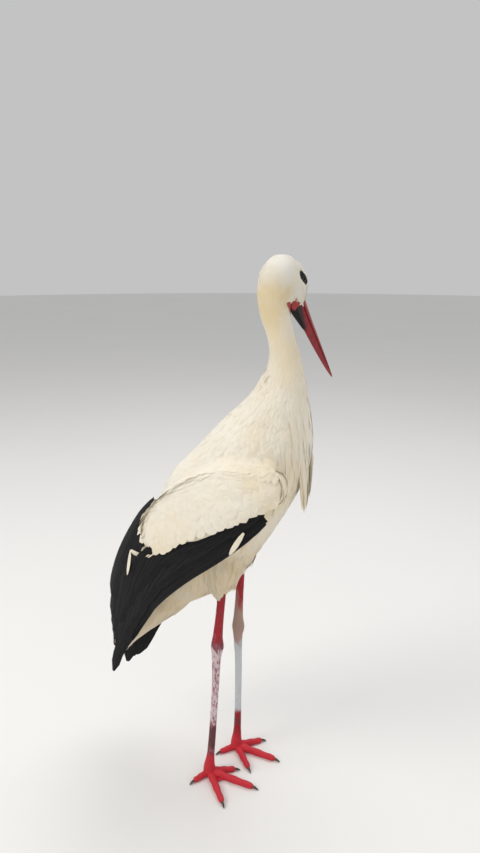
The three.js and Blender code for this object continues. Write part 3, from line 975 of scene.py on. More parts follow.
def birdSkin():
    # downy white under the coat, black round the eye and on the throat, red at the gape, scaly red legs
    material, tree, shader = principled("birdSkin", 0.6)
    shader.inputs["Specular IOR Level"].default_value = 0.22
    legs, red, black = attribute(tree, "bare")
    grain = noise(tree, objectPlace(tree), 900.0, 3.0, 0.6)
    white = mixColour(tree, attribute(tree, "tone")[0], *skinLook["down"])
    white = mixColour(tree, math(tree, "MULTIPLY", grain, 0.15), white, skinLook["grain"])
    colour = mixColour(tree, legs, white, legColour(tree)[0])
    folds = noise(tree, objectPlace(tree), 330.0, 4.0, 0.6)
    colour = mixColour(tree, black, colour, mixColour(tree, folds, *skinLook["black"]))
    colour = mixColour(tree, red, colour, mixColour(tree, folds, *skinLook["flesh"]))
    link(tree, colour, shader.inputs["Base Color"])
    link(tree, math(tree, "MULTIPLY_ADD", folds, 0.3, 0.4), shader.inputs["Roughness"])
    bumped(tree, shader, math(tree, "ADD", folds, grain), 0.0003, 0.7)
    return material


hornLook = {
    "deep": (0.17, 0.004, 0.010), "bright": (0.29, 0.008, 0.015),
    # colours laid over it, each with its greatest share
    # culmen: a painted highlight, a pale line along the upper bill's ridge and side
    "culmen": (0.80, (0.74, 0.30, 0.23)),
    "tip": (0.45, (0.42, 0.10, 0.07)),
    "root": (0.5, (0.12, 0.006, 0.010)),
    # slit: near-black, painted shade in the nostril's opening, and the lower bill's real dark skin
    "slitShadeAndSkin": (1.0, (0.02, 0.003, 0.004)),
}


def billHorn():
    material, tree, shader = principled("billHorn", 0.38)
    # the culmen share is a painted highlight along the upper bill's ridge and side
    length, culmen, slitShadeAndSkin = attribute(tree, "horn")
    streak = noise(tree, objectPlace(tree), 120.0, 4.0, 0.6)
    fibre = noise(tree, objectPlace(tree), 700.0, 3.0, 0.6)
    colour = mixColour(tree, stepMask(tree, streak, 0.3, 0.7), hornLook["deep"], hornLook["bright"])
    tip, root = stepMask(tree, length, 0.75, 1.0), stepMask(tree, length, 0.12, 0.0)
    # the slit share is painted shade in the nostril's opening, and the lower bill's real dark skin
    for mask, name in ((culmen, "culmen"), (tip, "tip"), (root, "root"), (slitShadeAndSkin, "slitShadeAndSkin")):
        share, tint = hornLook[name]
        colour = mixColour(tree, math(tree, "MULTIPLY", mask, share), colour, tint)
    link(tree, colour, shader.inputs["Base Color"])
    link(tree, math(tree, "MULTIPLY_ADD", fibre, 0.25, 0.26), shader.inputs["Roughness"])
    bumped(tree, shader, math(tree, "MULTIPLY_ADD", streak, 1.5, fibre), 0.0002, 0.6)
    return material


def eyeGlass():
    material, tree, shader = principled("eyeGlass", 0.07)
    shader.inputs["Specular IOR Level"].default_value = 0.3
    axis = attribute(tree, "gaze")[0]
    rays = noise(tree, objectPlace(tree), 1400.0, 3.0)
    iris = mixColour(tree, rays, (0.009, 0.005, 0.004), (0.026, 0.016, 0.011))
    colour = mixColour(tree, stepMask(tree, axis, 0.33, 0.36), (0.002, 0.002, 0.002), iris)
    colour = mixColour(tree, stepMask(tree, axis, 0.72, 0.80), colour, (0.008, 0.006, 0.006))
    link(tree, colour, shader.inputs["Base Color"])
    return material


def clawHorn():
    material, tree, shader = principled("clawHorn", 0.45)
    streak = noise(tree, objectPlace(tree), 600.0, 4.0)
    colour = mixColour(tree, streak, (0.018, 0.012, 0.012), (0.11, 0.075, 0.06))
    link(tree, colour, shader.inputs["Base Color"])
    bumped(tree, shader, streak, 0.0002, 0.5)
    return material


def paleFloor():
    material, tree, shader = principled("paleFloor", 0.9)
    cloud = noise(tree, objectPlace(tree), 1.2, 3.0)
    colour = mixColour(tree, cloud, (0.80, 0.795, 0.78), (0.84, 0.835, 0.82))
    link(tree, colour, shader.inputs["Base Color"])
    return material


white, black, scaleFinish = whitePlumage(), blackPlumage(), legSkin()
skinFinish, hornFinish, eyeFinish = birdSkin(), billHorn(), eyeGlass()
clawFinish, floorFinish = clawHorn(), paleFloor()
print("materials made")


# ---- the coat's outer form ----
# how far each part's form stands outside its listed size,
# then the size of the joining cells and of the field
formMake = {
    "neck": 1.1, "trunk": 0.5, "skull": 1.2, "tail": 1.5, "cheek": 1.2, "limb": 1.2, "blade": 0.0,
    "cell": 4, "rounds": 14, "softAbove": 700, "moreRounds": 12, "reach": 16,
}


def outerForm():
    loose = formMake
    parts = [
        tubeMesh("f", neckShape, 40, 40, loose["neck"] * mm),
        tubeMesh("f", trunkShape, 40, 48, loose["trunk"] * mm),
        tubeMesh("f", skullShape, 36, 40, loose["skull"] * mm),
        tubeMesh("f", tailShape, 30, 32, loose["tail"] * mm),
        tubeMesh("f", cheekShape, 30, 40, loose["cheek"] * mm),
    ]
    for k in (0, 1):
        parts += [tubeMesh("f", s[k], 34, 32, loose["limb"] * mm) for s in (thighShapes, wingShapes)]
        for shapes in (secondaryShapes, tertialShapes):
            parts.append(tubeMesh("f", shapes[k], 34, 32, loose["blade"] * mm))
    return melted(
        "outerForm", parts, loose["cell"] * mm, loose["rounds"], loose["softAbove"], loose["moreRounds"]
    )


form = outerForm()
field = makeField(form, formMake["cell"] * mm, formMake["reach"] * mm)
print("outer form", len(form.vertices), "points")

# ---- skin ----
coatDepth = {"neck": 2.4, "skull": 1.4, "trunk": 5.5, "wing": 5.5, "thigh": 5.5, "tail": 8}
lid = {"opening": 5.6, "out": 5.0, "lip": 1.15, "mound": 2.3, "moundOut": 7.6, "long": 1.14, "high": 0.94}
skinMake = {
    "headCell": 1.25, "bodyCell": 3.4, "footCell": 1.15, "fineRounds": 3, "bodyRounds": 14, "most": 188000,
}
# round tubes in head distances, [ahead, side, towards crown, radius]: the mouth's corner, and the throat
gapeRows = [
    [6, 8.6, 0.2, 1.3],
    [0, 9.6, 0, 1.6],
    [-6, 10.8, -0.6, 1.9],
    [-12, 12.4, -1.8, 1.9],
    [-17, 14, -3.6, 1.4],
]
throatRows = [
    [46, 0, -9, 1.8],
    [26, 0, -11, 3.4],
    [8, 0, -12.5, 5.2],
    [-6, 0, -13.5, 6.4],
    [-18, 0, -15, 7.0],
    [-40, 0, -18, 6.6],
]


def headTube(rows, side, around):
    ahead, left, crown, radius = np.array(rows, float).T
    points = headPoint(ahead, side * left, crown) * mm + toRow
    radius = radius[:, None] * mm
    rows = np.hstack([points, radius, radius, radius, 0 * radius])
    shape = {"rows": rows, "caps": (0.1, 0.1), "hint": tuple(crownWay)}
    return tubeMesh("f", shape, 4 * len(points), around)


def ringMesh(side, radius, out, thick):
    # a closed ring about the eye's axis: a circle carried round an oval
    i, j = np.meshgrid(np.arange(48), np.arange(12), indexing="ij")
    a, b = 2 * np.pi * i / 48, 2 * np.pi * j / 12
    size = radius + thick * np.cos(b)
    ahead = bird["eye"][0] + lid["long"] * size * np.cos(a)
    crown = bird["eye"][2] + lid["high"] * size * np.sin(a)
    left = side * (bird["eye"][1] + out + thick * np.sin(b))
    points = headPoint(ahead, left, crown) * mm + toRow
    i2, j2 = (i + 1) % 48, (j + 1) % 12
    quads = np.stack([i * 12 + j, i2 * 12 + j, i2 * 12 + j2, i * 12 + j2], -1).reshape(-1, 4)
    return meshFrom("f", points, quads)


# the cornea's swell, and its reach in radians
eyeMake = {"rounds": 40, "around": 48, "cornea": (0.05, 0.55)}


def eyeball(name, side, radius):
    # sphere about the eye's axis with a low swell for the cornea
    rounds, around = eyeMake["rounds"], eyeMake["around"]
    polar = np.linspace(0.03, np.pi - 0.03, rounds)
    polar, a = np.meshgrid(polar, np.linspace(0, 2 * np.pi, around, endpoint=False), indexing="ij")
    swell, reach = eyeMake["cornea"]
    size = radius * (1 + swell * np.exp(-(polar / reach) ** 2))
    ahead = bird["eye"][0] + size * np.sin(polar) * np.cos(a)
    crown = bird["eye"][2] + size * np.sin(polar) * np.sin(a)
    left = side * (bird["eye"][1] + size * np.cos(polar))
    points = headPoint(ahead, left, crown) * mm + toRow
    mesh = meshFrom(name, points, *ringFaces(1, rounds, around))
    gaze = np.stack([np.sin(polar) * np.where(polar < np.pi / 2, 1, 2), 0 * a, 0 * a], -1)
    setAttribute(mesh, "gaze", gaze.reshape(-1, 3))
    return mesh


def cut(mesh, others, operation):
    # exact union or difference of closed meshes
    obj = pieceFrom("work", mesh)
    helpers = []
    for k, other in enumerate(others):
        helper = pieceFrom("helper", other)
        tool = obj.modifiers.new(f"step{k}", "BOOLEAN")
        tool.operation = operation
        tool.solver = "MANIFOLD"
        tool.object = helper
        helpers.append(helper)
    out = applied(obj)
    for helper in helpers:
        bpy.data.objects.remove(helper)
    return out


def thinned(mesh, most):
    # faces collapsed where the surface is plainest, down to that many triangles
    mesh.calc_loop_triangles()
    obj = pieceFrom("thinned", mesh)
    collapse = obj.modifiers.new("collapse", "DECIMATE")
    collapse.ratio = min(1, most / len(mesh.loop_triangles))
    return applied(obj)


def headSkin():
    parts = [
        tubeMesh("f", neckShape, 60, 48, -coatDepth["neck"] * mm),
        tubeMesh("f", skullShape, 60, 56, -coatDepth["skull"] * mm),
        tubeMesh("f", cheekShape, 40, 56, -coatDepth["skull"] * mm),
    ]
    for side in (-1, 1):
        parts.append(ringMesh(side, lid["opening"] + 0.9, lid["out"] - 0.4, lid["lip"]))
        parts.append(ringMesh(side, lid["moundOut"], lid["out"] - 2.2, lid["mound"]))
        parts.append(headTube(gapeRows, side, 16))
    parts.append(headTube(throatRows, 1, 24))
    head = melted("headSkin", parts, skinMake["headCell"] * mm, skinMake["fineRounds"])
    sockets = [eyeball("f", side, bird["eyeRadius"] - 0.1) for side in (-1, 1)]
    return cut(head, sockets, "DIFFERENCE")


def bodySkin():
    parts = [tubeMesh("f", trunkShape, 50, 56, -coatDepth["trunk"] * mm)]
    stump = {"rows": tailShape["rows"][:4], "caps": (0.1, 0.5)}
    parts.append(tubeMesh("f", stump, 24, 32, -coatDepth["tail"] * mm))
    for k in (0, 1):
        parts.append(tubeMesh("f", wingShapes[k], 34, 32, -coatDepth["wing"] * mm))
        parts.append(tubeMesh("f", thighShapes[k], 34, 32, -coatDepth["thigh"] * mm))
    return melted("bodySkin", parts, skinMake["bodyCell"] * mm, skinMake["bodyRounds"])


def heelShape(k):
    # the flare where the shank spreads into the foot
    z = np.array([70, 52, 36, 22, 12, 5]) * mm + toRow[2]
    centre = axesAt(legShapes[k], np.linspace(0, 1, 80))[0][::-1]
    middle = np.stack([*(np.interp(z, centre[:, 2], centre[:, i]) for i in (0, 1)), z], -1)
    radius = np.array([[5.6, 6.3, 7.6, 9.4, 10.8, 9.0]]).T * mm
    rows = np.hstack([middle, radius, radius, radius, 0 * radius])
    return {"rows": rows, "caps": (0.05, 0.1), "hint": (0, 1, 0)}


def footSkin(k):
    parts = [tubeMesh("f", legShapes[k], 120, 32)]
    for toe in toeTable[k]:
        parts.append(tubeMesh("f", toeShape(k, toe), 40, 24))
    parts.append(tubeMesh("f", heelShape(k), 30, 36))
    find = {toe[0]: toe for toe in toeTable[k]}
    for other, share in (("outer", 0.46), ("inner", 0.3)):
        parts.append(webMesh(k, find["middle"], find[other], share))
    return melted("footSkin", parts, skinMake["footCell"] * mm, skinMake["fineRounds"])


def webMesh(k, first, second, share):
    # the web: straight lines from the foot's middle to a curve hung between two toes, with a thickness
    y = bird["footY"] if k else -bird["footY"]
    angles = np.radians([first[1], second[1]])
    reach = np.array([first[2], second[2]]) * share
    ends = np.stack([np.cos(angles) * reach, np.sin(angles) * reach], -1)
    middle = (ends[0] + ends[1]) * 0.3
    s = np.linspace(0, 1, 12)[:, None]
    edge = ends[0] * (1 - s) ** 2 + 2 * middle * s * (1 - s) + ends[1] * s ** 2
    rim = np.vstack([edge, [[0, 0]]])
    flat = np.array([1.8, 4.6])[:, None, None] * np.array([0, 0, 1.0])
    points = np.concatenate([rim, np.zeros((len(rim), 1))], -1)[None] + flat
    points = points + np.array([bird["footX"][k], y, 0])
    return meshFrom("f", points * mm + toRow, *ringFaces(1, 2, len(rim)))


def band(low, high, soft, z):
    return smooth(low - soft, low + soft, z) * smooth(high + soft, high - soft, z)


def legTones(points):
    # shares of each leg's colours by height above the floor:
    # red, chalky and dark, then beige, icy and bright
    z = (points[:, 2] - toRow[2]) / mm
    x, y = points[:, 0] / mm, points[:, 1] / mm
    ragged = 4 * np.sin(0.55 * x + 0.2 * z) + 3 * np.sin(0.7 * y + 1 - 0.13 * z)
    z = z + ragged * smooth(70, 110, z)
    far = (points[:, 1] - toRow[1] > 0).astype(float)
    near = 1 - far
    behind = 0
    for k in (0, 1):
        centre = axesAt(legShapes[k], np.linspace(0, 1, 60))[0]
        offset = (points[:, 0] - np.interp(points[:, 2], centre[::-1, 2], centre[::-1, 0])) / mm
        behind = behind + smooth(4, -4, offset) * (far if k else near)
    upper = smooth(282, 306, z)
    foot = smooth(60, 40, z)
    farUpper = upper * (1 - 0.85 * behind * smooth(372, 330, z)) * smooth(300, 345, z)
    red = near * (upper + foot) + far * (farUpper + smooth(96, 84, z))
    chalk = near * (0.50 * band(112, 236, 12, z) + 0.55 * band(238, 280, 10, z) + 0.24 * behind * upper)
    chalk = chalk + far * 0.12 * band(90, 180, 8, z)
    dark = near * (0.80 * band(58, 112, 12, z) + 0.20 * band(264, 284, 8, z))
    dark = dark + far * 0.62 * band(50, 92, 12, z)
    beige = far * smooth(236, 262, z)
    ice = far * band(90, 248, 14, z)
    bright = np.where(far > 0, smooth(46, 26, z), foot)
    share = [np.clip(v, 0, 1) for v in (red, chalk, dark, beige, ice, bright)]
    return np.stack(share[:3], -1), np.stack(share[3:], -1)


def bareShares(points):
    # shares of bare skin: legs below the thigh's feathers, red at the gape,
    # black about the eye and on the throat
    z = (points[:, 2] - toRow[2]) / mm
    legs = 0
    for shape in legShapes:
        centre = axesAt(shape, np.linspace(0, 1, 60))[0]
        middle = np.stack([np.interp(points[:, 2], centre[::-1, 2], centre[::-1, k]) for k in (0, 1)], -1)
        near = np.linalg.norm(points[:, :2] - middle, axis=-1) / mm
        legs = np.maximum(legs, np.where(z < 60, 1, smooth(22, 15, near)))
    legs = legs * smooth(392, 384, z)
    ahead, left, crown = headPlace(points)
    nearHead = (z > 780) & (ahead > -75) & (crown > -40)
    offset = ahead - bird["eye"][0]
    lift = crown - bird["eye"][2]
    back = 1 + 0.35 * smooth(0, -14, offset)
    front = 1 + 0.25 * smooth(0, 12, offset)
    eye = np.hypot(offset / (11.5 * back * front), lift / np.where(lift > 0, 5.8, 8.6))
    black = smooth(1.08, 0.92, eye) * (np.abs(left) > 10)
    edge = -11 + 5.5 * smooth(-2, 2, ahead)
    throat = smooth(-16, -12, ahead) * smooth(edge, edge - 2, crown) * (ahead < 52)
    level = smooth(-10.5, -12, crown) * smooth(-17, -15.5, crown)
    red = smooth(-24, -18, ahead) * level * (np.abs(left) > 5)
    red = red * smooth(-1, -4, ahead)
    # the near corner of the mouth, a patch about a short line
    start, reach = np.array([112, -6, 848]), np.array([3, 32, -3])
    offset = birdPoint(points) - start
    share = np.clip(offset @ reach / (reach @ reach), 0, 1)
    corner = np.linalg.norm(offset - share[:, None] * reach, axis=-1)
    red = np.maximum(red, smooth(9.5, 8.0, corner))
    black = np.maximum(black, throat) * nearHead
    return np.stack([legs, red * nearHead, black], -1)


def skinUv(mesh, points):
    # the same unrolled strips as the coat's patches,
    # with a face's corners kept on one side of the strip's seam
    spot = locate(points)
    layer = mesh.uv_layers.new(name="OFBake")
    corner = np.empty(len(mesh.loops), np.int32)
    mesh.loops.foreach_get("vertex_index", corner)
    starts = np.empty(len(mesh.polygons), np.int32)
    mesh.polygons.foreach_get("loop_start", starts)
    totals = np.diff(np.append(starts, len(corner)))
    lead = np.repeat(corner[starts], totals)
    share = spot["angle"][corner] / (2 * np.pi) % 1
    base = spot["angle"][lead] / (2 * np.pi) % 1
    share = base + (share - base + 0.5) % 1 - 0.5
    flat = unwrapped(spot["best"][lead], spot["t"][corner], 0 * share)
    flat[:, 0] += 0.88 / len(zones) * share
    layer.data.foreach_set("uv", np.clip(flat, 0, 1).astype(np.float32).ravel())


def makeSkin():
    mesh = cut(bodySkin(), [headSkin(), footSkin(0), footSkin(1)], "UNION")
    mesh = thinned(mesh, skinMake["most"])
    mesh.shade_smooth()
    points = readPoints(mesh)
    warm, dirtAndShade = tonesAt(points)
    setAttribute(mesh, "tone", np.stack([warm, dirtAndShade, 0 * warm], -1))
    setAttribute(mesh, "bare", bareShares(points))
    for name, values in zip(("leg", "tint"), legTones(points)):
        setAttribute(mesh, name, values)
    skinUv(mesh, points)
    piece = pieceFrom("skin", mesh, skinFinish)
    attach(piece, "root")
    names = ["head", "neck", "trunk", "tail", "breast_ruff"]
    for side in sides:
        names += [f"{part}_{side}" for part in ("thigh", "wing", "leg", "foot")]
    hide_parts(*names)
    return piece


skin = makeSkin()
print("skin", len(skin.data.vertices), "points")


# ---- bill, eyes and claws ----
billMake = {
    "rings": 90, "around": 56,
    "nostril": (22, 6.2, 7.0, 0.75),    # ahead, height, half length and half width
    # share of the height that the ridge stands up, and its reach in radians
    "culmen": 0.05, "culmenHalf": 0.38,
    "slitDepth": 1.1, "grooveDepth": 0.25,
}


def billPiece(name, shape, upper):
    # half an ellipse closed by a flat face, with a low ridge along it and a slit pressed in for the nostril
    t = np.linspace(0.004, 0.996, billMake["rings"])
    t, angle = np.meshgrid(t, np.linspace(0, 2 * np.pi, billMake["around"], endpoint=False), indexing="ij")
    points = shell(shape, t, angle)
    centre, _, out, _, radii = axesAt(shape, t)
    ridge = np.pi / 2 if upper else 3 * np.pi / 2
    swell = np.exp(-((angle - ridge) / billMake["culmenHalf"]) ** 2)
    high = radii[..., 1] if upper else radii[..., 2]
    sign = 1 if upper else -1
    lift = sign * swell * high * billMake["culmen"] * capShare(t, shape["caps"])
    points = points + out * lift[..., None]
    ahead, _, crown = headPlace(points)
    slitShadeAndSkin = 0 * t
    if upper:
        place, level, long, thin = billMake["nostril"]
        past = ahead - place
        # the nostril's slit is pressed in, and also painted near-black as shade in its opening
        slitShadeAndSkin = np.exp(-(past / long) ** 4 - ((crown - level + 0.05 * past) / thin) ** 2)
        groove = np.exp(-((crown - level + 0.06 * past) / 1.3) ** 2)
        groove = groove * smooth(10, 24, ahead) * smooth(80, 40, ahead)
        press = billMake["slitDepth"] * slitShadeAndSkin + billMake["grooveDepth"] * groove
        points = points - unit(points - centre) * (press * mm)[..., None]
    else:
        # dark skin between the two arms of the lower bill
        slitShadeAndSkin = smooth(-0.05, -0.40, np.sin(angle) + (ahead + 4) / 75) * smooth(52, 40, ahead)
    mesh = meshFrom(name, points, *ringFaces(1, billMake["rings"], billMake["around"]))
    # painted highlight along the upper bill's ridge and side, carried as the horn attribute's culmen share
    paintedHighlight = np.exp(-((angle - ridge) / 1.0) ** 4) * smooth(0.75, 0.4, t) * upper
    setAttribute(mesh, "horn", np.stack([t, paintedHighlight * smooth(0.0, 0.1, t), slitShadeAndSkin], -1).reshape(-1, 3))
    piece = pieceFrom(name, mesh, hornFinish)
    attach(piece, "root")
    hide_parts("bill_upper" if upper else "bill_lower")
    return piece


billPiece("upperBill", upperBillShape, True)
billPiece("lowerBill", lowerBillShape, False)

for side, name in zip((-1, 1), sides):
    piece = pieceFrom(f"eyeball_{name}", eyeball(f"eyeball_{name}", side, bird["eyeRadius"]), eyeFinish)
    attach(piece, "root")
    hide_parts(f"eye_{name}")


def clawShape(k, toe):
    # a claw carries on from its toe, thins and sinks to the floor
    angle = np.radians(toe[1])
    share = toe[2]
    y = bird["footY"] if k else -bird["footY"]
    reach = np.array([-5, -1, 3, 6, 9.6])
    rows = np.stack([
        bird["footX"][k] + np.cos(angle) * (share + reach), y + np.sin(angle) * (share + reach),
        np.array([5.0, 4.7, 3.9, 2.6, 0.9]), np.array([2.3, 2.3, 2.0, 1.5, 0.5]),
        np.array([2.6, 2.7, 2.3, 1.6, 0.5]), np.array([2.6, 2.7, 2.2, 1.5, 0.5]),
    ], -1)
    hint = (np.sin(angle), -np.cos(angle), 0)
    return {"rows": stations(rows, body=False), "caps": (0.1, 0.2), "hint": hint}


for k, side in enumerate(sides):
    for toe in toeTable[k]:
        mesh = tubeMesh("claw", clawShape(k, toe), 28, 20)
        piece = pieceFrom(f"claw_{toe[0]}_{side}_horn", mesh, clawFinish)
        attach(piece, "root")
        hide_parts(f"claw_{toe[0]}_{side}")
print("bill, eyes and claws made")


# ---- scales of legs and toes ----
scaleMake = {
    # heights in millimetres, and the half length and half angle of the shank's scales
    "shankRows": 150, "shankAround": 13, "shankHigh": 0.22, "shankSize": (0.0042, 0.268),
    "from": 52, "to": 388,
    "heelRows": 16, "heelAround": 18, "heelHigh": 0.26, "heelSize": (0.028, 0.185),
    "toeEvery": 3.4, "toeHigh": 0.26, "flankHigh": 0.20, "rim": -0.16,
}


def scutes(shape, t, angle, halfT, halfAngle, high, around=6):
    # each scale is a low dome: rings of a six-sided outline set above the skin, its rim just under it
    turnRound = np.linspace(0, 2 * np.pi, around, endpoint=False) + np.pi / 6
    rings = np.array([(1.0, scaleMake["rim"]), (0.76, high * 0.85), (0.12, high)])
    dt = halfT[:, None, None] * rings[None, :, :1] * np.cos(turnRound)
    da = halfAngle[:, None, None] * rings[None, :, :1] * np.sin(turnRound)
    tt = np.clip(t[:, None, None] + dt, 0.001, 0.999)
    aa = angle[:, None, None] + da
    grow = np.broadcast_to(rings[None, :, 1:2] * mm, tt.shape)
    points = shell(shape, tt, aa, grow)
    quads, caps = ringFaces(len(t), len(rings), around)
    return points.reshape(-1, 3), quads, caps


def scalePiece(name, parts):
    starts = np.cumsum([0] + [len(p) for p, _, _ in parts])
    points = np.concatenate([p for p, _, _ in parts])
    quads = np.concatenate([q + start for (_, q, _), start in zip(parts, starts)])
    mesh = meshFrom(name, points, quads, *[c + start for (_, _, c), start in zip(parts, starts)])
    for title, values in zip(("leg", "tint"), legTones(points)):
        setAttribute(mesh, title, values)
    piece = pieceFrom(name, mesh, scaleFinish)
    skinUv(mesh, points)
    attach(piece, "root")
    return piece


def brickwork(t, number):
    # rows at t with a number of places round each, every other row turned by half a place
    rows = len(t)
    angle = np.tile(np.arange(number) * 2 * np.pi / number, rows)
    return np.repeat(t, number), angle + np.repeat(np.arange(rows) % 2, number) * np.pi / number


def legScales(k):
    make = scaleMake
    shape = legShapes[k]
    t, angle = brickwork(np.linspace(0.02, 0.965, make["shankRows"]), make["shankAround"])
    t = t + rng.normal(0, 0.0004, len(t))
    angle = angle + rng.normal(0, 0.04, len(angle))
    size = rng.uniform(0.9, 1.06, len(t))
    level = (shell(shape, t, angle)[:, 2] - toRow[2]) / mm
    keep = (level < make["to"]) & (level > make["from"])
    t, angle, size = t[keep], angle[keep], size[keep]
    long, wide = make["shankSize"]
    parts = [scutes(shape, t, angle, long * size, wide * size, make["shankHigh"])]
    t, angle = brickwork(np.linspace(0.22, 0.86, make["heelRows"]), make["heelAround"])
    long, wide = make["heelSize"]
    parts.append(scutes(heelShape(k), t, angle, long + 0 * t, wide + 0 * t, make["heelHigh"]))
    for toe in toeTable[k]:
        # broad plates over each toe and two rows of small scales down either flank
        own = toeShape(k, toe)
        count = int(toe[2] / make["toeEvery"])
        top = np.linspace(0.12, 0.95, count)
        plates = (np.full(count, v) for v in (np.pi / 2, 0.47 / count, 0.95))
        parts.append(scutes(own, top, *plates, make["toeHigh"], 12))
        t = np.linspace(0.12, 0.93, int(count * 1.2))
        for level in (0.32, -0.12):
            for angle in (level, np.pi - level):
                flank = (np.full(len(t), v) for v in (angle, 0.42 / count, 0.24))
                parts.append(scutes(own, t, *flank, make["flankHigh"]))
    return scalePiece(f"legScales_{sides[k]}", parts)


for k in (0, 1):
    legScales(k)
print("scales laid")

# ---- coat: small feathers over head, neck, body, thighs and wings ----
coatMake = {
    "sampleFactor": 3.2, "trianglesEach": {"slim": 36, "full": 68}, "trianglesMost": 180000,
    # millimetres between roots, on the neck from its top to its foot
    "spacing": {"body": 4.7, "thigh": 3.6, "neckTop": 1.75, "neckFoot": 4.5, "skull": 1.3},
    "neckFrom": 700, "neckTo": 800, "tertialWhite": 0.16, "wingWhite": -0.30,
}


def spacingAt(spot, points):
    # distance between roots in metres, from the zone and the height on the body
    z = birdPoint(points)[:, 2]
    gap = coatMake["spacing"]
    space = np.where(spot["zone"] == "thigh", gap["thigh"], gap["body"])
    neck = (spot["zone"] == "coat") & (z > coatMake["neckFrom"])
    share = smooth(coatMake["neckTo"], coatMake["neckFrom"], z)
    space = np.where(neck, gap["neckTop"] + (gap["neckFoot"] - gap["neckTop"]) * share, space)
    space = np.where(spot["zone"] == "skull", gap["skull"], space)
    return space * mm


def blackZone(spot):
    # no white feathers grow on the legs or the flight feathers, except over the tertials' first stretch
    bare = np.isin(spot["zone"], ("flight", "leg"))
    low = (spot["zone"] == "wing") & (spot["across"] < coatMake["wingWhite"])
    return bare | low | ((spot["zone"] == "tertial") & (spot["t"] > coatMake["tertialWhite"]))


def coatRoots():
    def density(middle):
        spot = locate(middle)
        return np.where(blackZone(spot), 0, coatMake["sampleFactor"] / spacingAt(spot, middle) ** 2)

    points = sampleForm(form, density)
    spot = locate(points)
    bill = (headPlace(points)[0] > -1) & (spot["zone"] == "skull")
    points = points[~blackZone(spot) & (bareShares(points).max(1) < 0.35) & ~bill]
    return points[scatter(points, spacingAt(locate(points), points))]


roots = coatRoots()
spot = locate(roots)
zone, heading = spot["zone"], spot["heading"]
height = birdPoint(roots)[:, 2]
facing = fieldAt(field, roots)[1]
floorHeight = (roots[:, 2] - toRow[2]) / mm
# on the head the coat runs away from the bill's base and bends down into the neck
away = birdPoint(roots) - np.array(bird["billBase"])
sink = smooth(42, 88, np.linalg.norm(away, axis=-1))[:, None]
flow = unit(away) * (1 - sink) + np.array([0, 0, -1.0]) * sink
share = (smooth(800, 845, height) * np.isin(zone, ("skull", "coat")))[:, None]
heading = unit(heading * (1 - share) + flow * share)
print("roots", {str(z): int((zone == z).sum()) for z in np.unique(zone)})

# what the sizes below change with, as a share of each root
nearBill = smooth(-45, 0, headPlace(roots)[0])
napeShare = smooth(900, 820, height)
footOfNeck = smooth(coatMake["neckTo"], coatMake["neckFrom"], height)
toTail = smooth(0.35, 0.85, spot["t"])
toWingEnd = smooth(0.84, 0.96, spot["t"])
# for each piece: length, half width, root's depth and tip's height in millimetres, each followed by
# what its shares add, then the vane's outline and build, and the degrees that it turns and leans at random
featherMake = {
    "headFeathers": {
        "sizes": ((11, -5), (1.5, -0.5), (-1.0, 0.3), (0.12,)), "outline": "hair", "style": "slim",
        "thick": 0.08, "sway": 4, "tilt": 2, "camber": 0.03,
    },
    "neckFeathers": {
        "sizes": ((11, 8, 18), (1.75, 0.6, 3.9), (-1.4, -0.3, -1.0), (0.2,)),
        "outline": "lance", "style": "slim",
        "thick": 0.09, "sway": 4, "tilt": 1.6, "camber": 0.03,
    },
    "bodyFeathers": {
        "sizes": ((46,), (8.6,), (-4.2,), (0.3,)), "outline": "contour", "style": "full",
        "thick": 0.10, "sway": 5, "tilt": 1.4, "camber": 0.02,
    },
    "thighFeathers": {
        "sizes": ((42,), (4.2,), (-4,), (1.6,)), "outline": "down", "style": "full",
        "thick": 0.12, "sway": 9, "tilt": 4, "camber": 0.03, "loose": 0.6, "hang": 0.5,
    },
    "tailCoverts": {
        "sizes": ((70, -42), (6.2,), (-5,), (1.2,)), "outline": "down", "style": "full",
        "thick": 0.12, "sway": 7, "tilt": 3, "camber": 0.03, "loose": 0.22,
    },
    "wingCoverts": {
        "sizes": ((40, -28), (8.8,), (-3.6,), (0.4,)), "outline": "contour", "style": "full",
        "thick": 0.10, "sway": 4, "tilt": 1.4, "camber": 0.02,
    },
    "bellyDown": {
        "sizes": ((40,), (4.4,), (-3,), (1.2,)), "outline": "down", "style": "full",
        "thick": 0.12, "sway": 8, "tilt": 3, "camber": 0.03, "loose": 0.3, "hang": 0.25,
    },
    "legTufts": {
        "sizes": ((38,), (4.4,), (-2,), (1.6,)), "outline": "down", "style": "full",
        "thick": 0.12, "sway": 6, "tilt": 3, "camber": 0.03, "loose": 0.7, "hang": 1.0,
    },
}


def sizedBy(size, shares):
    # metres for each root: a size, and what each share adds to it
    value = np.full(len(roots), float(size[0]))
    for add, share in zip(size[1:], shares):
        value = value + add * share
    return value * mm


def layZone(name, pick, *shares):
    # joined coat pieces from the picked roots, top to bottom, as many as keep each within its triangles
    make = dict(featherMake[name])
    sizes, outline, style = (make.pop(key) for key in ("sizes", "outline", "style"))
    chosen = np.flatnonzero(pick)
    chosen = chosen[np.argsort(-roots[chosen, 2])]
    parts = int(np.ceil(len(chosen) * coatMake["trianglesEach"][style] / coatMake["trianglesMost"]))
    for k, group in enumerate(np.array_split(chosen, parts)):
        length, half, depth, tip = (sizedBy(size, shares)[group] for size in sizes)
        jitter = rng.normal(1, 0.10, len(group))
        own = name if parts == 1 else f"{name}_{k + 1}"
        layVanes(own, field, roots[group], heading[group], length * jitter, half * jitter, depth, tip,
                 outline, style, white, **make)


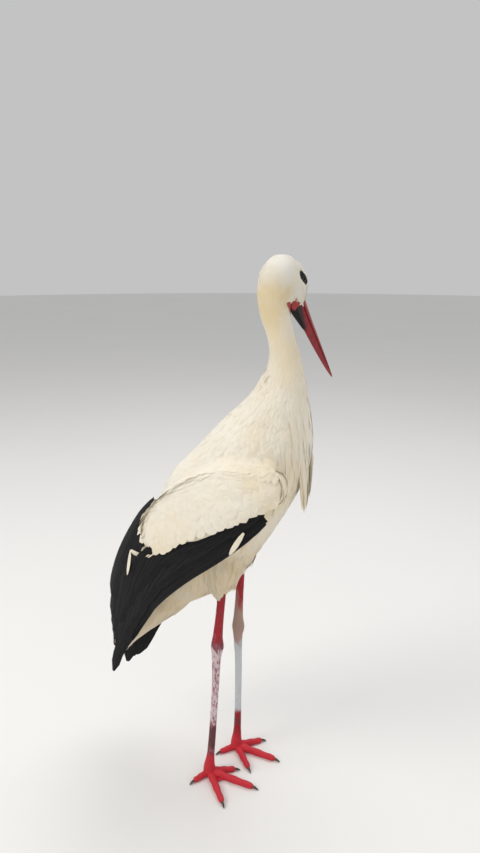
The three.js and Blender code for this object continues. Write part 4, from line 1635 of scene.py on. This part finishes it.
onNeck = (zone == "coat") & (height > coatMake["neckFrom"])
onBody = np.isin(zone, ("coat", "tertial")) & (height <= coatMake["neckFrom"])
onThigh, onTail, onWing = zone == "thigh", zone == "tail", zone == "wing"
layZone("headFeathers", zone == "skull", nearBill)
layZone("neckFeathers", onNeck, napeShare, footOfNeck)
layZone("bodyFeathers", onBody)
layZone("thighFeathers", onThigh & (facing[:, 2] > -0.45) & (floorHeight > 408))
layZone("tailCoverts", onTail, toTail)
layZone("wingCoverts", onWing & (spot["t"] < 0.945), toWingEnd)

# loose down that hangs under the belly and about the top of the legs
keepHeading = heading
heading = unit(keepHeading * 0.7 + np.array([-0.1, 0, -0.5]))
layZone("bellyDown", onBody & (facing[:, 2] < -0.35) & (floorHeight < 480))
heading = unit(heading * 0.2 + np.array([0, 0, -1.0]))
layZone("legTufts", onThigh & (floorHeight < 440) & (floorHeight > 402) & (facing[:, 2] > -0.2))
heading = keepHeading

# greater coverts of the white panel: rows whose rounded tips make its scalloped lower edge
scallopMake = {
    # the tips' level across the wing at places along it,
    # then for each row: how much higher, how many, how long
    "alongWing": (0.18, 0.27, 0.36, 0.44, 0.54, 0.64, 0.74, 0.84, 1.0),
    "tips": (-1.0, -0.97, -0.96, -0.90, -0.82, -0.76, -0.70, -0.64, -0.60),
    "rows": ((0.0, 14, 44), (0.24, 15, 42), (0.46, 15, 40)),
    "from": 0.20, "reach": 0.75, "half": 12.0, "depth": -3, "tip": 0.9,
    "bend": (52, 18), "vane": {"thick": 0.12, "sway": 4, "tilt": 2, "camber": 0.04},
}
for k, side in enumerate(sides):
    make, shape = scallopMake, wingShapes[k]
    middles = axesAt(shape, np.linspace(0, 1, 40))[0]
    reach = np.linalg.norm(np.diff(middles, axis=0), axis=1).sum()
    spots, ways, longs = [], [], []
    for row, (higher, number, long) in enumerate(make["rows"]):
        t = make["from"] + (np.arange(number) + 0.5 * (row % 2)) / number * make["reach"]
        bend = np.radians(make["bend"][0] + (make["bend"][1] - make["bend"][0]) * smooth(0.75, 1.0, t))
        _, across, _, tangent, radii = axesAt(shape, t)
        level = np.interp(t, make["alongWing"], make["tips"]) + higher
        level = level + long * mm * np.sin(bend) / radii[:, 0]
        start = np.clip(t - long * mm * np.cos(bend) / reach, 0.01, 1)
        spots.append(blade(shape, start, level, along(shape["rows"], start)[0][:, 4]))
        bend = bend[:, None]
        ways.append(tangent * np.cos(bend) - across * shape["flip"] * np.sin(bend))
        longs.append(np.full(number, long * mm))
    longs = np.concatenate(longs)
    half, depth, tip = (np.full(len(longs), make[key] * mm) for key in ("half", "depth", "tip"))
    layVanes(f"scallopCoverts_{side}", field, np.concatenate(spots), np.concatenate(ways), longs, half,
             depth, tip, "scallop", "full", white, **make["vane"])
print("small feathers laid")


# ---- flight feathers ----
quillMake = {
    # how many vanes, their half width, rows of points, bow across the blade, share that rounds the tip
    # the ends are the root's and the tip's place along the blade, across it, and above it in millimetres,
    # each with its value at the first vane, the change to the last and perhaps a looseness
    "handQuills": {
        "count": 5, "half": (9, 0), "rows": 16, "bow": 0, "tip": 0.1,
        "ends": (
            (0.04, 0.02, 0.004), (0.9, 0.12), (-0.42, -0.35), (-0.33, -0.45), (1.0, 0.6), (2.0, 0.4),
        ),
    },
    "secondaryVanes": {
        "count": 15, "half": (13, 3), "rows": 14, "bow": -0.10, "tip": 0.12, "replaces": "secondaries",
        "ends": (
            (0.03, 0.53, 0.006), (0.36, 0.66, 0.008), (0.72, 0.1),
            (-0.30, -0.30, 0.03), (2.6, 2.4), (4.2, 2.6),
        ),
    },
    "greaterCoverts": {
        "count": 16, "half": (10, 3), "rows": 10, "bow": -0.06, "tip": 0.2,
        "ends": (
            (0.04, 0.64, 0.006), (0.24, 0.68, 0.008), (0.95, 0),
            (0.22, -0.1, 0.04), (5.6, 1.0), (7.0, 1.2),
        ),
    },
    "primaryVanes": {
        "count": 6, "half": (11, -1), "rows": 14, "bow": 0, "tip": 0.16, "replaces": "primaries",
        "ends": (
            (-0.5, 0), (0.52, 0.5, 0.01), (-0.35, 0.5), (-0.3, 0.35), (3.5, -4.5), (3.0, -4.5),
        ),
        "left": {
            "count": 9, "half": (13, -1),
            "ends": (
                (-0.5, 0), (0.92, 0.12, 0.01), (-0.35, 0.5), (-0.35, 1.4), (3.5, -4.5), (3.0, -4.5),
            ),
        },
    },
    "tertialVanes": {
        "count": 11, "half": (19, -3), "rows": 14, "bow": 0.05, "tip": 0.2, "replaces": "tertials",
        "ends": (
            (0.12, 0.08), (0.60, 0.40, 0.012), (0.95, -1.35),
            (0.90, -1.20, 0.03), (5.0, -4.5), (4.5, -4.5),
        ),
        "left": {
            "ends": (
                (0.16, 0.08), (0.60, 0.40, 0.012), (0.95, -1.35),
                (0.90, -1.20, 0.03), (5.0, -4.5), (4.5, -4.5),
            ),
        },
    },
    "tailVanes": {"count": 12, "half": 15, "rows": 14, "bow": 0, "tip": 0.12},
    "ruffStrands": {
        "count": 170, "rows": 9, "bow": 0, "tip": 0.55,
        "thick": 0.14, "camber": 0.06, "sign": -1, "roll": 2.0,
    },
}


def flightVanes(name, make, shape, ends, half, finish):
    # long vanes across a blade: each runs straight from its root's place to its tip's,
    # in shares of the blade
    v = np.linspace(0, 1, make["rows"])
    t, c, lift = (a[:, None] + (b - a)[:, None] * v for a, b in (ends[:2], ends[2:4], ends[4:]))
    sign = make.get("sign", 1)
    shaft = blade(shape, t, c + make["bow"] * np.sin(np.pi * v), lift * mm * sign)
    _, side, out, _, _ = axesAt(shape, t)
    out = unit(out * sign + side * (c * make.get("roll", 0.0))[..., None])
    way = unit(np.gradient(shaft, axis=1))
    across = unit(np.cross(way, out))
    out = np.cross(across, way)
    # narrow at the root, and rounded off at the tip
    left = np.clip((1.004 - v) / (make["tip"] + 0.001), 0, 1)
    profile = np.minimum(1, (v + 0.08) / 0.3) ** 0.5 * np.sqrt(left * (2 - left))
    count = len(half)
    chance = rng.random(count)
    thick = np.full(count, make.get("thick", 0.5) * mm)
    mesh = vaneMesh(name, shaft, across, out, half[:, None] * mm * profile, "full", shaft[:, 0], chance,
                    thick, make.get("camber", 0.10))
    piece = pieceFrom(name, mesh, finish)
    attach(piece, "root")
    return piece


def changing(start, change, loose=0.0, *, s):
    # a value for each vane, from the first to the last, with its looseness
    values = start + change * s
    return values + rng.normal(0, loose, len(s)) if loose else values


def layBlack(name, shape, k):
    make = quillMake[name]
    if k:
        make = {**make, **make.get("left", {})}
    s = np.linspace(0, 1, make["count"])
    ends = [changing(*end, s=s) for end in make["ends"]]
    half = changing(*make["half"], s=s)
    piece = flightVanes(f"{name}_{sides[k]}", make, shape, ends, half, black)
    if "replaces" in make:
        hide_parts(f"{make['replaces']}_{sides[k]}")


for k in (0, 1):
    for name in ("handQuills", "secondaryVanes", "greaterCoverts"):
        layBlack(name, secondaryShapes[k], k)
    layBlack("primaryVanes", primaryShapes[k], k)
    layBlack("tertialVanes", tertialShapes[k], k)
make = quillMake["tailVanes"]
s = np.linspace(-1, 1, make["count"])
reach = changing(0.95, -0.03, 0.006, s=s ** 2)
ends = (0.05 + 0 * s, reach, 0.5 * s, 0.56 * s, 2 - 4 * np.abs(s), -4 * np.abs(s))
flightVanes("tailVanes", make, tailShape, ends, make["half"] + 0 * s, white)
print("flight feathers laid")

# ---- breast ruff: loose vanes on the lower neck's front, and long ones that hang free below them ----
ruffMake = {
    "from": 610, "to": 735, "every": 4,
    "long": (55, 95), "half": (3.6, 5.4), "depth": -3, "tip": (0.6, 1.6),
    "vane": {"thick": 0.10, "camber": 0.04, "tilt": 2, "sway": 3, "loose": 0.3},
}
pick = np.flatnonzero((facing[:, 0] > 0.5) & (height > ruffMake["from"]) & (height < ruffMake["to"]))
pick = pick[::ruffMake["every"]]
n = len(pick)
drop = unit(heading[pick] * 0.4 + np.array([0.02, 0, -1.0]))
long, half = (rng.uniform(*ruffMake[key], n) * mm for key in ("long", "half"))
layVanes("ruffFeathers", field, roots[pick], drop, long, half, np.full(n, ruffMake["depth"] * mm),
         rng.uniform(*ruffMake["tip"], n) * mm, "lance", "full", white, **ruffMake["vane"])
make = quillMake["ruffStrands"]
n = make["count"]
t0 = rng.uniform(-0.35, 0.35, n)
t1 = np.minimum(t0 + rng.uniform(0.50, 0.80, n), rng.uniform(0.86, 1.14, n))
c0 = rng.uniform(-0.9, 0.9, n)
c1 = c0 * rng.uniform(0.3, 0.8, n)
lift0, lift1, half = (rng.uniform(*span, n) for span in ((-7, 1), (-1, 6), (3.0, 5.0)))
flightVanes("ruffStrands", make, ruffShape, (t0, t1, c0, c1, lift0, lift1), half, white)
print("ruff laid")

# ---- three white feathers out of place: on the folded wing, at the wing's lower edge, at the nape ----
strays = (
    # root, tip, half width, and which way its face looks
    ((-141, -68, 440), (-139, -86, 403), 5.0, (-0.55, -0.8, 0.22)),
    ((77, -109, 522), (52, -105, 480), 4.2, (-0.1, -1, 0.1)),
    ((84, -31, 750), (75, -34, 739), 2.0, (-0.5, -0.8, 0.3)),
)
shares, widths = (np.array(v) for v in outlines["contour"])
root, tip, half, face = (np.array([row[i] for row in strays], float) for i in range(4))
shaft = leaned(root[:, None] + (tip - root)[:, None] * shares[:, None]) * mm + toRow
across = unit(np.cross(tip - root, face))
face = unit(np.cross(across, tip - root))
rows = np.ones((3, len(shares), 1))
mesh = vaneMesh("strayFeathers", shaft, across[:, None] * rows, face[:, None] * rows,
                half[:, None] * mm * widths, "full", shaft[:, 0], rng.random(3),
                np.full(3, 0.14 * mm), 0.05)
piece = pieceFrom("strayFeathers", mesh, white)
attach(piece, "root")
print("stray feathers laid")

# ---- studio ----
studio = {
    "camera": (383, -966, 930), "heading": 20.0, "pitch": 14.97, "lens": 27.85,
    "floorRings": (0.0001, 0.6, 3.0, 14.0), "floorAround": 96,
    "air": (0.80, 0.80, 0.81), "airStrength": 0.68,
    # place, what it shines at, size, power and colour
    "keyLamp": ((-1.9, -1.9, 2.6), (0, 0, 0.45), 1.6, 50, (1.0, 0.97, 0.92)),
    "fillLamp": ((2.4, -2.2, 1.6), (0, 0, 0.5), 2.2, 16, (0.98, 0.98, 1.0)),
    "topLamp": ((0.2, 0.8, 3.0), (0, 0, 0.4), 2.0, 34, (1, 0.99, 0.97)),
}
camera = bpy.data.cameras.new("camera")
camera.lens, camera.sensor_width, camera.sensor_fit = studio["lens"], 36, "AUTO"
eye = pieceFrom("camera", camera)
eye.location = Vector(np.array(studio["camera"]) * mm + toRow)
eye.rotation_euler = (np.radians(90 - studio["pitch"]), 0, np.radians(studio["heading"]))
bpy.context.scene.camera = eye
for name in ("keyLamp", "fillLamp", "topLamp"):
    place, target, size, power, colour = studio[name]
    lamp = bpy.data.lights.new(name, "AREA")
    lamp.size, lamp.energy, lamp.color = size, power, colour
    holder = pieceFrom(name, lamp)
    holder.location = place
    holder.rotation_euler = (Vector(target) - Vector(place)).to_track_quat("-Z", "Y").to_euler()
world = bpy.data.worlds.new("studioAir")
bpy.context.scene.world = world
world.use_nodes = True
air = world.node_tree.nodes["Background"]
air.inputs["Color"].default_value = (*studio["air"], 1)
air.inputs["Strength"].default_value = studio["airStrength"]
bpy.context.scene.view_settings.view_transform = "Standard"

# a flat round floor: rings about the middle, its faces looking up
around = studio["floorAround"]
turnRound = np.linspace(0, 2 * np.pi, around, endpoint=False)
reach = np.array(studio["floorRings"])[:, None]
ground = np.stack([reach * np.cos(turnRound), reach * np.sin(turnRound), 0 * reach + 0 * turnRound], -1)
quads = ringFaces(1, len(reach), around)[0]
floorMesh = bpy.data.meshes.new("studioFloor")
floorMesh.from_pydata(ground.reshape(-1, 3).tolist(), [], quads.tolist())
pieceFrom("studioFloor", floorMesh, floorFinish)
print("studio set")
